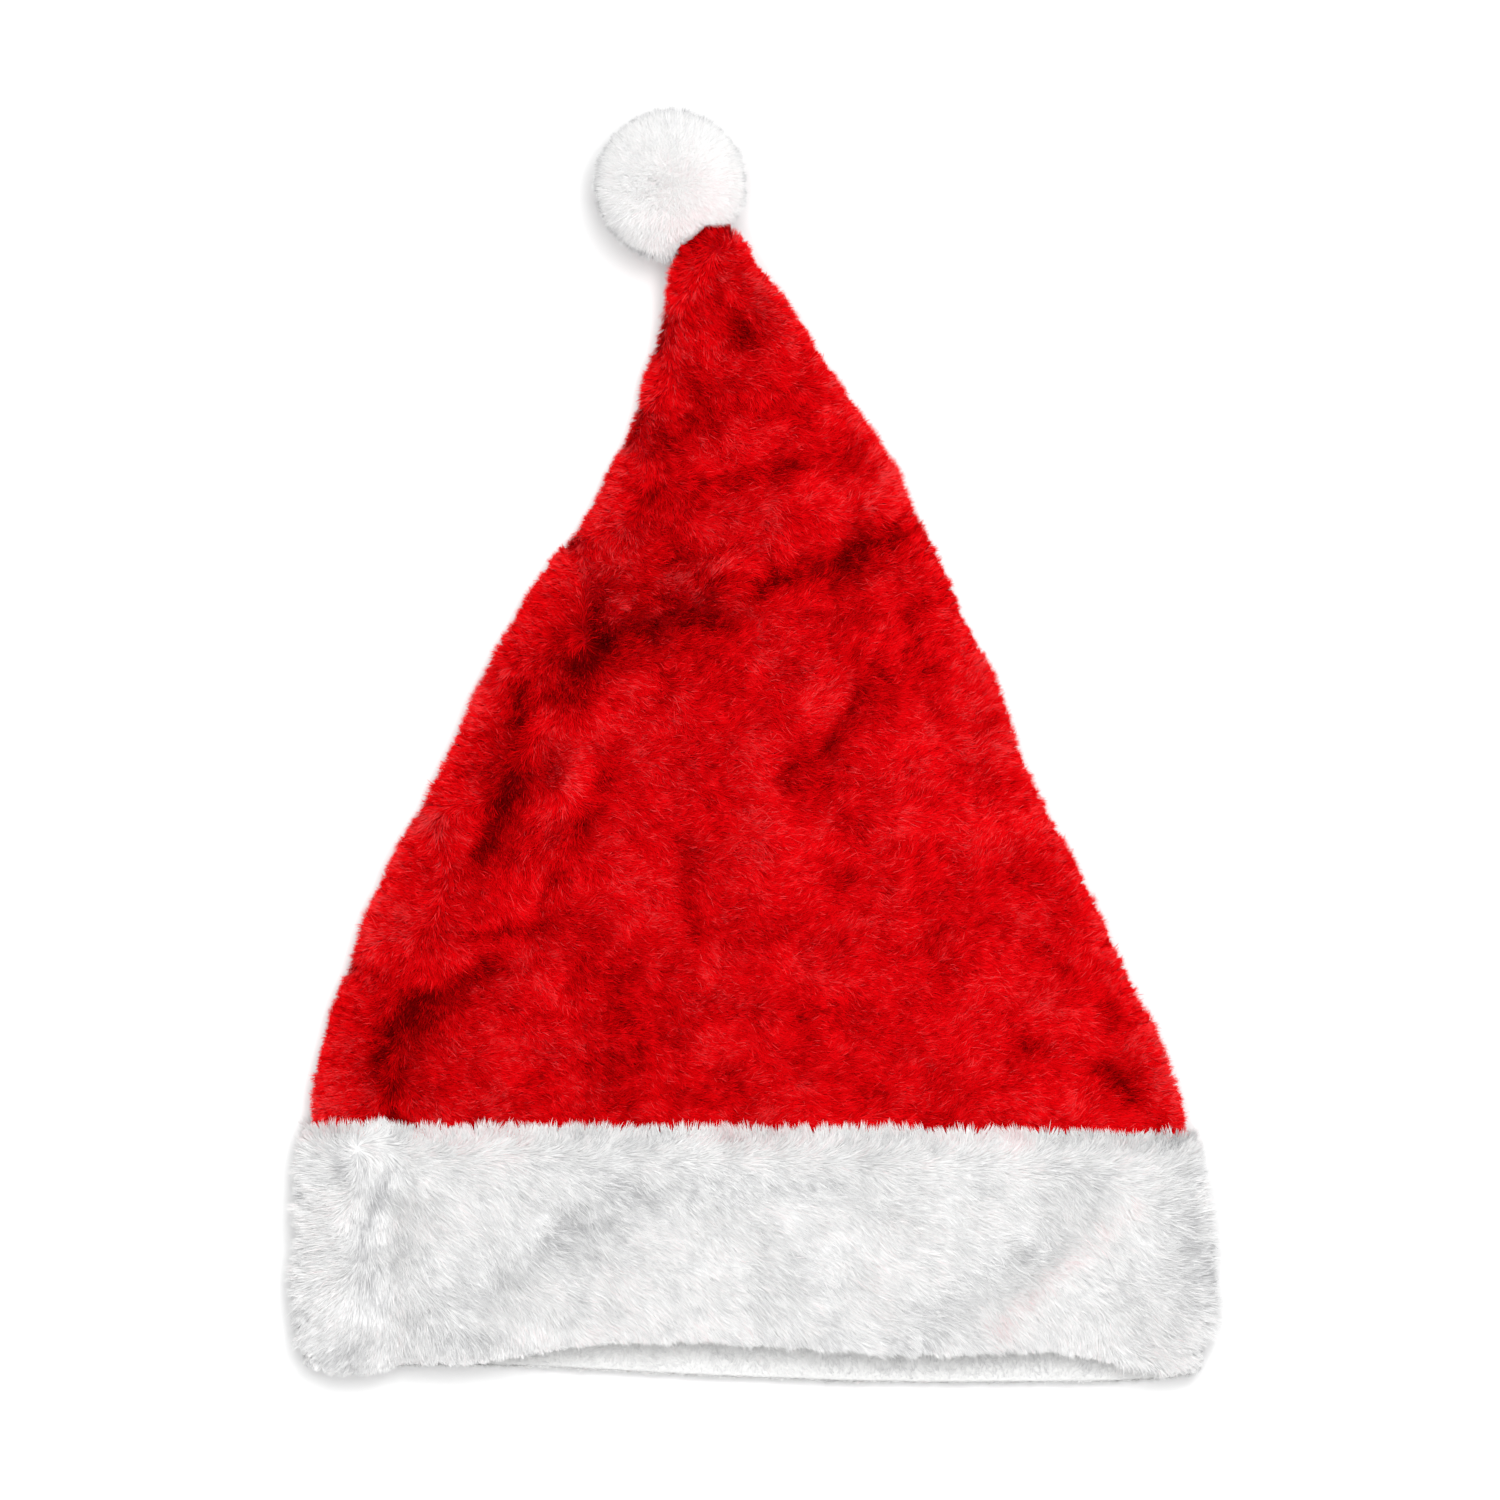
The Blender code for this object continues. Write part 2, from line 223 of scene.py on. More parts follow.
# Columns: x, y, toward, rise, reach
CROWN_COMBS = tuple(Comb(*row) for row in (
    (10.0, -60.0, 84.0, 26.0, 60.0),
    (70.0, -80.0, 88.0, 26.0, 50.0),
    (-60.0, -80.0, 66.0, 30.0, 40.0),
    (30.0, 20.0, 95.0, 28.0, 34.0),
    (0.0, 80.0, 78.0, 28.0, 30.0),
    (-8.0, 125.0, 40.0, 38.0, 20.0),
    # Outwards along both sides
    (-132.0, -95.0, -80.0, 48.0, 14.0),
    (-116.0, -45.0, -85.0, 48.0, 14.0),
    (-94.0, 0.0, -80.0, 48.0, 13.0),
    (-72.0, 44.0, -80.0, 48.0, 12.0),
    (-46.0, 84.0, -75.0, 48.0, 10.0),
    (-33.0, 118.0, -75.0, 48.0, 7.0),
    (126.0, -100.0, 80.0, 48.0, 12.0),
    (100.0, -40.0, 92.0, 48.0, 12.0),
    (80.0, 15.0, 95.0, 48.0, 11.0),
    (60.0, 55.0, 100.0, 48.0, 10.0),
    (40.0, 95.0, 100.0, 48.0, 9.0),
    (18.0, 125.0, 90.0, 48.0, 7.0),
    (-26.0, 150.0, -75.0, 44.0, 7.0),
    (2.0, 150.0, 80.0, 44.0, 7.0),
    (-20.0, 160.0, -100.0, 40.0, 5.0),
    (-12.0, 165.0, 185.0, 34.0, 4.0),
    # Up and to the right on the ridge of the long fold
    (-40.0, 43.0, 140.0, 52.0, 9.0),
    (-20.0, 50.0, 135.0, 54.0, 9.0),
    (-4.0, 54.0, 125.0, 50.0, 9.0),
    (34.0, 58.0, 80.0, 44.0, 9.0),
    (-68.0, 22.0, -20.0, 46.0, 9.0),
    (-66.0, -26.0, -30.0, 42.0, 8.0),
    (-110.0, -72.0, -20.0, 42.0, 8.0),
))
BAND_COMBS = tuple(Comb(*row) for row in (
    (-95.0, -150.0, 44.0, 22.0, 20.0),
    (-60.0, -150.0, 52.0, 20.0, 26.0),
    (-30.0, -165.0, 50.0, 22.0, 30.0),
    (20.0, -160.0, 56.0, 20.0, 30.0),
    (60.0, -160.0, 64.0, 20.0, 26.0),
    (105.0, -160.0, 44.0, 24.0, 18.0),
    # Straight down in the valley beside the left roll
    (-119.5, -130.0, 4.0, 12.0, 5.0),
    (-122.5, -150.0, 0.0, 12.0, 5.0),
    (-122.0, -172.0, -4.0, 14.0, 5.0),
    # The two rolled sides
    (-140.0, -135.0, -95.0, 34.0, 10.0),
    (-140.0, -160.0, -80.0, 34.0, 10.0),
    (-138.0, -188.0, -45.0, 34.0, 11.0),
    (138.0, -135.0, 110.0, 34.0, 12.0),
    (142.0, -165.0, 88.0, 34.0, 12.0),
    (138.0, -190.0, 60.0, 34.0, 12.0),
    # The front hem
    (-100.0, -196.0, 6.0, 26.0, 9.0),
    (-70.0, -192.0, 4.0, 26.0, 9.0),
    (-35.0, -188.0, 12.0, 24.0, 8.0),
    (10.0, -188.0, 30.0, 24.0, 8.0),
    (60.0, -188.0, 45.0, 24.0, 8.0),
    (100.0, -190.0, 10.0, 26.0, 9.0),
))

# Columns: x1, y1, x2, y2, width, change
# Painted shade where the change darkens and painted highlights where it lightens, laid on the crown's pile
CROWN_PAINTED_SHADING = tuple(Shade(*row) for row in (
    # Painted shade in the hollows under the long slanting fold
    (-55.0, 28.0, -49.0, 33.0, 5.0, -0.90),
    (-50.0, 43.0, -51.0, 38.0, 3.5, -0.40),
    (-48.0, 32.0, -32.0, 38.0, 3.5, -0.40),
    (-26.0, 41.0, -5.0, 37.0, 3.2, -0.30),
    (2.0, 52.0, 20.0, 56.0, 5.5, -0.60),
    (20.0, 57.0, 30.0, 62.0, 4.5, -0.48),
    (30.0, 63.0, 44.0, 66.5, 4.5, -0.50),
    (10.0, 41.0, 19.0, 41.0, 2.5, -0.20),
    (-36.0, 52.0, -36.0, 46.0, 3.5, -0.30),
    (-31.0, 58.0, -22.0, 61.0, 2.5, -0.25),
    (47.0, 46.0, 60.0, 47.0, 2.5, -0.22),
    (48.0, 44.0, 50.0, 33.0, 3.5, -0.22),
    (54.0, 26.0, 54.0, 18.0, 4.0, -0.15),
    # Painted shade between the fold and the tip
    (-5.0, 86.0, 12.0, 91.0, 5.0, -0.38),
    (18.0, 95.0, 31.0, 94.0, 4.0, -0.30),
    (-18.0, 82.0, -8.0, 83.0, 3.5, -0.25),
    (2.0, 109.0, 16.0, 103.0, 2.5, -0.28),
    (-28.0, 98.0, -18.0, 105.0, 2.5, -0.28),
    (-15.0, 110.0, 2.0, 110.0, 2.5, -0.15),
    (-5.0, 136.0, -4.0, 131.0, 4.5, -0.55),
    (-18.0, 134.0, -17.0, 131.0, 3.5, -0.20),
    (-18.0, 124.0, -19.0, 112.0, 2.5, -0.20),
    (-38.0, 74.0, -32.0, 84.0, 2.5, -0.35),
    (-24.0, 160.0, -13.0, 168.0, 3.5, -0.60),
    # Painted shade down the left side
    (-74.0, 18.0, -74.0, -8.0, 4.0, -0.50),
    (-74.0, 16.0, -58.0, 17.0, 2.5, -0.28),
    (-58.0, 17.0, -50.0, 24.0, 2.5, -0.25),
    (-76.0, -8.0, -88.0, -32.0, 4.5, -0.55),
    (-48.0, -6.0, -55.0, -24.0, 4.0, -0.35),
    (-56.0, -26.0, -69.0, -48.0, 2.0, -0.30),
    (-69.0, -48.0, -70.0, -56.0, 2.2, -0.30),
    (-92.0, -59.0, -69.0, -56.0, 3.0, -0.35),
    (-104.0, -56.0, -104.0, -64.0, 3.0, -0.20),
    (-84.0, -68.0, -102.0, -76.0, 3.5, -0.50),
    (-102.0, -76.0, -113.0, -87.0, 4.5, -0.60),
    (-113.0, -87.0, -118.0, -100.0, 4.0, -0.55),
    (-115.0, -101.0, -115.0, -116.0, 3.2, -0.60),
    # Painted shade in the open field
    (-22.0, -42.0, -20.0, -57.0, 4.5, -0.35),
    (-47.0, -72.0, -43.0, -88.0, 3.0, -0.28),
    (-33.0, -82.0, -36.0, -92.0, 6.0, -0.18),
    (-70.0, -104.0, -46.0, -98.0, 3.5, -0.22),
    (-108.0, -107.0, -88.0, -106.0, 3.0, -0.15),
    (-20.0, -86.0, 4.0, -83.0, 2.5, -0.15),
    (8.0, -7.0, 20.0, -2.0, 1.8, -0.30),
    (20.0, -2.0, 26.0, 8.0, 2.2, -0.38),
    (26.0, 8.0, 34.0, 18.0, 2.5, -0.32),
    (-12.0, -10.0, -12.0, -26.0, 4.0, -0.15),
    (-30.0, 20.0, -30.0, 14.0, 3.5, -0.20),
    (-8.0, 25.0, 8.0, 14.0, 4.0, -0.14),
    (58.0, 0.0, 66.0, -6.0, 1.8, -0.20),
    (98.0, -74.0, 118.0, -89.0, 2.5, -0.20),
    (80.0, -86.0, 86.0, -96.0, 3.5, -0.15),
    (108.0, -102.0, 120.0, -111.0, 3.5, -0.50),
    (-20.0, -111.0, 35.0, -112.0, 4.0, -0.10),
    # Painted highlights on the bright swells
    (8.0, 80.0, 34.0, 79.0, 5.0, 0.22),
    (3.0, 74.0, 8.0, 68.0, 4.0, 0.20),
    (-26.0, 54.0, -10.0, 57.0, 3.0, 0.22),
    (-57.0, 0.0, -65.0, -24.0, 3.5, 0.18),
    (-62.0, -30.0, -60.0, -40.0, 4.0, 0.10),
    (20.0, 26.0, 16.0, 20.0, 4.0, 0.20),
    (36.0, 36.0, 38.0, 36.0, 6.0, 0.12),
    (-2.0, 150.0, 12.0, 125.0, 8.0, 0.12),
))
# Painted shade in the band's valley, hollows and edges, and painted highlights along its ridges
BAND_PAINTED_SHADING = tuple(Shade(*row) for row in (
    (-118.0, -133.0, -124.5, -151.0, 3.0, -0.30),
    (-124.5, -151.0, -123.5, -164.0, 3.0, -0.22),
    (-123.0, -164.0, -121.0, -176.0, 2.5, -0.10),
    (-127.0, -126.0, -126.0, -133.0, 4.5, -0.14),
    (-90.0, -173.0, -64.0, -153.0, 7.0, -0.16),
    (-64.0, -152.0, -38.0, -138.0, 8.0, -0.20),
    (-36.0, -137.0, 26.0, -139.0, 5.0, -0.12),
    (26.0, -138.0, 52.0, -136.0, 4.0, -0.06),
    (-104.0, -184.0, -86.0, -186.0, 4.0, -0.14),
    (-80.0, -178.0, -76.0, -176.0, 4.0, -0.08),
    (52.0, -188.0, 66.0, -170.0, 8.0, -0.10),
    (66.0, -168.0, 88.0, -156.0, 7.0, -0.10),
    (14.0, -186.0, 52.0, -187.0, 4.5, -0.12),
    (-134.0, -192.0, -126.0, -190.0, 4.5, -0.14),
    (134.0, -154.0, 142.0, -168.0, 6.0, -0.16),
    (112.0, -172.0, 118.0, -174.0, 5.0, -0.08),
    (98.0, -136.0, 104.0, -137.0, 6.0, -0.08),
    # Painted highlights
    (74.0, -185.0, 119.0, -142.0, 3.5, 0.20),
    (-60.0, -184.0, -10.0, -180.0, 6.0, 0.05),
))


class Side(Enum):
    """The half of the flattened hat that a pile grows on: angles round the section, in degrees."""

    FRONT = (-8.0, 188.0)
    BACK = (188.0, 352.0)

    def angles(self, columns: int) -> np.ndarray:
        """Even angles over the half, in radians, as one row."""
        first, last = (math.radians(angle) for angle in self.value)
        return np.linspace(first, last, columns)[None, :]


class SoftNoise:
    """Smooth seeded noise over the plan, from about -1 to 1, with a finer octave on the coarse one."""

    CELLS = 64
    FINER = 2.1
    FINER_SHARE = 0.45
    FINER_SHIFT = 17.3
    GAIN = 1.4

    def __init__(self, seed: int, size: float) -> None:
        """Fills the lattice.

        Args:
            seed: The lattice's seed.
            size: The width of one swell.
        """
        self.lattice = np.random.default_rng(seed).uniform(-1.0, 1.0, (self.CELLS, self.CELLS))
        self.size = size

    def octave(self, x: np.ndarray, y: np.ndarray) -> np.ndarray:
        """Reads the lattice, smoothly between its points."""
        i, j = np.floor(x).astype(int), np.floor(y).astype(int)
        u, v = x - i, y - j
        u, v = u * u * (3 - 2 * u), v * v * (3 - 2 * v)
        i0, j0, i1, j1 = i % self.CELLS, j % self.CELLS, (i + 1) % self.CELLS, (j + 1) % self.CELLS
        low = self.lattice[i0, j0] * (1 - u) + self.lattice[i1, j0] * u
        high = self.lattice[i0, j1] * (1 - u) + self.lattice[i1, j1] * u
        return low * (1 - v) + high * v

    def at(self, x: np.ndarray, y: np.ndarray) -> np.ndarray:
        """The noise at points of the plan.

        Args:
            x: The points' x.
            y: The points' y.

        Returns:
            The noise, with the points' shape.
        """
        x, y = x / self.size, y / self.size
        finer = self.octave(x * self.FINER, y * self.FINER + self.FINER_SHIFT)
        return self.GAIN * (self.octave(x, y) + self.FINER_SHARE * finer)


class Swell(NamedTuple):
    """Soft noise of one strength: about the most that it changes a value, its seed and a swell's width."""

    amount: float
    seed: int
    size: float

    def at(self, x: np.ndarray, y: np.ndarray) -> np.ndarray:
        """The change at points of the plan."""
        return self.amount * SoftNoise(self.seed, self.size).at(x, y)


def column(rows: Sequence[Any], name: str) -> np.ndarray:
    """One named column of a table, as an array."""
    return np.array([getattr(row, name) for row in rows], float)


def smooth_read(places: np.ndarray, values: np.ndarray, at: np.ndarray) -> np.ndarray:
    """Reads a smooth curve through points.

    Args:
        places: Where the points are, in rising order.
        values: The points' values.
        at: Where to read the curve.

    Returns:
        The curve's values.
    """
    slopes = np.gradient(values, places)
    i = np.clip(np.searchsorted(places, at) - 1, 0, len(places) - 2)
    span = places[i + 1] - places[i]
    t = np.clip((at - places[i]) / span, 0.0, 1.0)
    start = values[i] * (1 + 2 * t) * (1 - t) ** 2 + slopes[i] * span * t * (1 - t) ** 2
    end = values[i + 1] * t * t * (3 - 2 * t) - slopes[i + 1] * span * t * t * (1 - t)
    return start + end


def away_from(line: Any, x: np.ndarray, y: np.ndarray) -> np.ndarray:
    """How far points of the plan are from a line between two points."""
    dx, dy = line.x2 - line.x1, line.y2 - line.y1
    t = np.clip(((x - line.x1) * dx + (y - line.y1) * dy) / (dx * dx + dy * dy), 0.0, 1.0)
    return np.hypot(x - line.x1 - t * dx, y - line.y1 - t * dy)


def bell(distance: np.ndarray, width: Any) -> np.ndarray:
    """A share that is 1 at a place and fades smoothly to 0 with the distance from it."""
    return np.exp(-((distance / width) ** 2))


def unit(vectors: np.ndarray) -> np.ndarray:
    """Vectors of length one."""
    return vectors / np.maximum(np.linalg.norm(vectors, axis=-1, keepdims=True), 1e-9)


@dataclass(frozen=True)
class ClothShape:
    """The flattened hat's cloth, as a surface along the hat and round its section.

    Attributes:
        ripple: The small dents that the plush has all over.
    """

    ripple: Swell = Swell(0.55, 5, 13.0)

    def section_at(self, y: np.ndarray) -> List[np.ndarray]:
        """Left side, right side, height and underside height of the section at y."""
        places = column(SECTIONS, "y")
        return [smooth_read(places, column(SECTIONS, name), y) for name in Section._fields[1:]]

    def fold_height(self, x: np.ndarray, y: np.ndarray) -> np.ndarray:
        """How far folds and dents raise or lower the upper cloth."""
        total = self.ripple.at(x, y)
        for fold in FOLDS:
            total = total + fold.height * bell(away_from(fold, x, y), fold.width)
        return total

    def inside(self, x: np.ndarray, y: np.ndarray) -> np.ndarray:
        """How far points of the plan are inside the nearer side of the outline."""
        left, right = self.section_at(y)[:2]
        return np.minimum(x - left, right - x)

    def point(self, y: np.ndarray, angle: np.ndarray, offset: np.ndarray) -> np.ndarray:
        """Points offset outwards from the cloth's outer surface.

        Args:
            y: Where along the hat.
            angle: Where round the section: 0 is the right side and a quarter turn the top.
            offset: How far outwards.

        Returns:
            The points, in a last axis of three.
        """
        y, angle, offset = np.broadcast_arrays(y, angle, offset)
        left, right, loft, lift = self.section_at(y)
        edge = lift + EDGE_HEIGHT_SHARE * loft
        run, rise = np.cos(angle), np.sin(angle)
        x = (left + right) / 2 + ((right - left) / 2 + offset) * np.sign(run) * np.abs(run) ** SIDE_POWER
        share = np.maximum(rise, 0.0) ** TOP_POWER
        folds = self.fold_height(x, y) * np.minimum(1.0, FOLD_REACH * share) * share
        over = edge + ((1 - EDGE_HEIGHT_SHARE) * loft + offset) * share + folds
        drop = np.minimum(1.0, UNDER_FLATNESS * np.abs(rise) ** UNDER_POWER)
        under = edge - (EDGE_HEIGHT_SHARE * loft + offset) * drop
        z = np.maximum(np.where(rise >= 0, over, under), FLOOR_Z + np.maximum(0.0, -offset))
        return np.stack([x, y, z], axis=-1)

    def crown_point(self, station: np.ndarray, angle: np.ndarray, offset: np.ndarray) -> np.ndarray:
        """Points of the crown, whose rings near the hem slope with the seam."""
        x = self.point(station, angle, offset)[..., 0]
        share = (SLOPE_FADES_AT_Y - station) / (SLOPE_FADES_AT_Y - CROWN_HEM_Y)
        return self.point(station + SEAM_SLOPE * np.clip(share, 0.0, 1.0) * x, angle, offset)

    def hem_y(self, x: np.ndarray, angle: np.ndarray) -> np.ndarray:
        """Where the mouth's edge is, blended from front to back round the sides."""
        places = column(HEMS, "x")
        front, back = (np.interp(x, places, column(HEMS, name)) for name in Hem._fields[1:])
        return back + (front - back) * np.clip(0.5 + HEM_BLEND * np.sin(angle), 0.0, 1.0)

    def band_point(self, along: np.ndarray, angle: np.ndarray, offset: np.ndarray) -> np.ndarray:
        """Points of the band: along runs from 0 at the hem to 1 at the seam."""
        x = self.point(np.full_like(angle, BAND_TOP_Y), angle, np.zeros_like(angle))[..., 0]
        top = BAND_TOP_Y + SEAM_SLOPE * x
        return self.point((self.hem_y(x, angle) + HEM_INSET) * (1 - along) + top * along, angle, offset)


SHAPE = ClothShape()


class Skin:
    """A grid of points that a pile grows on, with its normals and the ways down the hat and to the right."""

    def __init__(self, points: np.ndarray, right_is: float = -1.0) -> None:
        """Works out the grid's frames.

        Args:
            points: The points, with a row for each station from the hem up, and the angle along the columns.
            right_is: The sign of the columns' way, seen from outside.
        """
        self.points = points
        self.angles = np.zeros(points.shape[:2])
        self.flip = right_is < 0
        rows = np.gradient(points, axis=0)
        columns = np.gradient(points, axis=1) * right_is
        self.down = unit(-rows)
        self.normal = unit(np.cross(columns, rows))
        self.right = unit(np.cross(-self.down, self.normal))

    def nap(self, toward: np.ndarray) -> np.ndarray:
        """The way that tips point, from an angle from down towards the right, in degrees."""
        turn = np.radians(toward)[..., None]
        return self.down * np.cos(turn) + self.right * np.sin(turn)

    def areas(self) -> np.ndarray:
        """The area round each point, in square millimetres."""
        rows = np.gradient(self.points, axis=0)
        columns = np.gradient(self.points, axis=1)
        return np.linalg.norm(np.cross(rows, columns), axis=-1)


# Small weights that keep a blend of combs defined far from all of them
COMB_FLOOR = 1e-7
COMB_START = 1e-9


def comb_over(combs: Sequence[Comb], x: np.ndarray, y: np.ndarray) -> Tuple[np.ndarray, np.ndarray]:
    """Blends a table of combed places over the plan.

    Args:
        combs: The places.
        x: The points' x.
        y: The points' y.

    Returns:
        The way that tips point and the rise of the hairs, both in degrees.
    """
    along, across, rise, total = (np.full_like(x, COMB_START) for _ in range(4))
    for comb in combs:
        weight = np.exp(-(((x - comb.x) ** 2 + (y - comb.y) ** 2) / comb.reach**2)) + COMB_FLOOR
        along += weight * math.cos(math.radians(comb.toward))
        across += weight * math.sin(math.radians(comb.toward))
        rise += weight * comb.rise
        total += weight
    return np.degrees(np.arctan2(across, along)), rise / total


def painted_shading_over(shades: Sequence[Shade], x: np.ndarray, y: np.ndarray) -> np.ndarray:
    """How much lighter or darker a table of painted shade and painted highlights makes the hairs: the
    strongest of each, over the plan.
    """
    changes = [shade.change * bell(away_from(shade, x, y), shade.width) for shade in shades]
    return np.maximum(np.max(changes, axis=0), 0.0) + np.minimum(np.min(changes, axis=0), 0.0)


@dataclass(frozen=True)
class Pile:
    """One kind of pile.

    Attributes:
        hairs: How many hairs are planted, about.
        segments: How many lengths each hair has.
        width: A hair's width at its root.
        yaw: How far a hair strays from its neighbours sideways, in degrees.
        roll: How far a hair rolls about its own length, in degrees.
        clump_size: The width of a clump.
        clump_pull: How far tips are drawn to their clump's middle, as a share.
        clump_spread: How much shorter whole clumps are than others, as a share.
        clump_tone: How much tones differ from clump to clump.
        tuft_size: The width of a tuft, where the pile parts into tufts.
        tuft_pull: How far tips are drawn to their tuft's middle, as a share.
        tuft_spread: How much shorter whole tufts are than others, as a share.
        wave_size: The width of a wave that hairs share.
        wave: How far tips stray with the wave, as a share of their length.
        length_spread: How much lengths differ, as a share.
        tone_spread: How much tones differ from hair to hair.
    """

    hairs: int
    segments: int = 2
    width: float = 0.5
    yaw: float = 16.0
    roll: float = 30.0
    clump_size: float = 3.0
    clump_pull: float = 0.4
    clump_spread: float = 0.2
    clump_tone: float = 0.2
    tuft_size: float = 3.2
    tuft_pull: float = 0.8
    tuft_spread: float = 0.45
    wave_size: float = 4.0
    wave: float = 0.2
    length_spread: float = 0.25
    tone_spread: float = 0.3


class TreeWriter:
    """Adds the nodes of one tree, each linked in the call that adds it."""

    def __init__(self, tree: bpy.types.NodeTree) -> None:
        """Keeps the tree."""
        self.tree = tree

    def node(self, kind: str, inputs: Optional[Dict[Any, Any]] = None, **settings: Any) -> bpy.types.Node:
        """Adds a node.

        Args:
            kind: The node's type.
            inputs: Values or output sockets for its inputs, by name or number.
            settings: The node's own settings.

        Returns:
            The node.
        """
        made = self.tree.nodes.new(kind)
        for name, value in settings.items():
            setattr(made, name, value)
        for name, value in (inputs or {}).items():
            self.feed(made.inputs[name], value)
        return made

    def feed(self, socket: bpy.types.NodeSocket, value: Any) -> None:
        """Links an output to a socket, or sets the socket's value."""
        if isinstance(value, bpy.types.NodeSocket):
            self.tree.links.new(value, socket)
        else:
            socket.default_value = value

    def math(self, operation: str, first: Any, second: Any = 0.0, clamp: bool = False) -> Any:
        """A sum, product or other operation on numbers."""
        made = self.node("ShaderNodeMath", {0: first, 1: second}, operation=operation, use_clamp=clamp)
        return made.outputs[0]

    def vector(self, operation: str, first: Any, second: Any = (0.0, 0.0, 0.0)) -> bpy.types.NodeSocket:
        """An operation on two vectors."""
        made = self.node("ShaderNodeVectorMath", {0: first, 1: second}, operation=operation)
        return made.outputs["Value" if operation == "DOT_PRODUCT" else "Vector"]

    def scaled(self, vector: Any, factor: Any) -> bpy.types.NodeSocket:
        """A vector times a number."""
        made = self.node("ShaderNodeVectorMath", {0: vector, "Scale": factor}, operation="SCALE")
        return made.outputs["Vector"]

    def read(self, name: str, kind: str = "FLOAT") -> bpy.types.NodeSocket:
        """A named attribute."""
        made = self.node("GeometryNodeInputNamedAttribute", {"Name": name}, data_type=kind)
        return made.outputs["Attribute"]

    def store(self, geometry: Any, name: str, value: Any, kind: str, domain: str) -> bpy.types.NodeSocket:
        """Stores a named attribute and hands the geometry on."""
        inputs = {"Geometry": geometry, "Name": name, "Value": value}
        made = self.node("GeometryNodeStoreNamedAttribute", inputs, data_type=kind, domain=domain)
        return made.outputs["Geometry"]

    def chance(self, low: Any, high: Any, seed: Any, kind: str = "FLOAT") -> bpy.types.NodeSocket:
        """A random number or vector for each point."""
        made = self.node("FunctionNodeRandomValue", data_type=kind)
        wanted = [socket for socket in made.inputs if socket.enabled]
        by_name = {socket.name: socket for socket in wanted}
        self.feed(by_name["Min"], low)
        self.feed(by_name["Max"], high)
        self.feed(by_name["Seed"], seed)
        return next(socket for socket in made.outputs if socket.enabled)


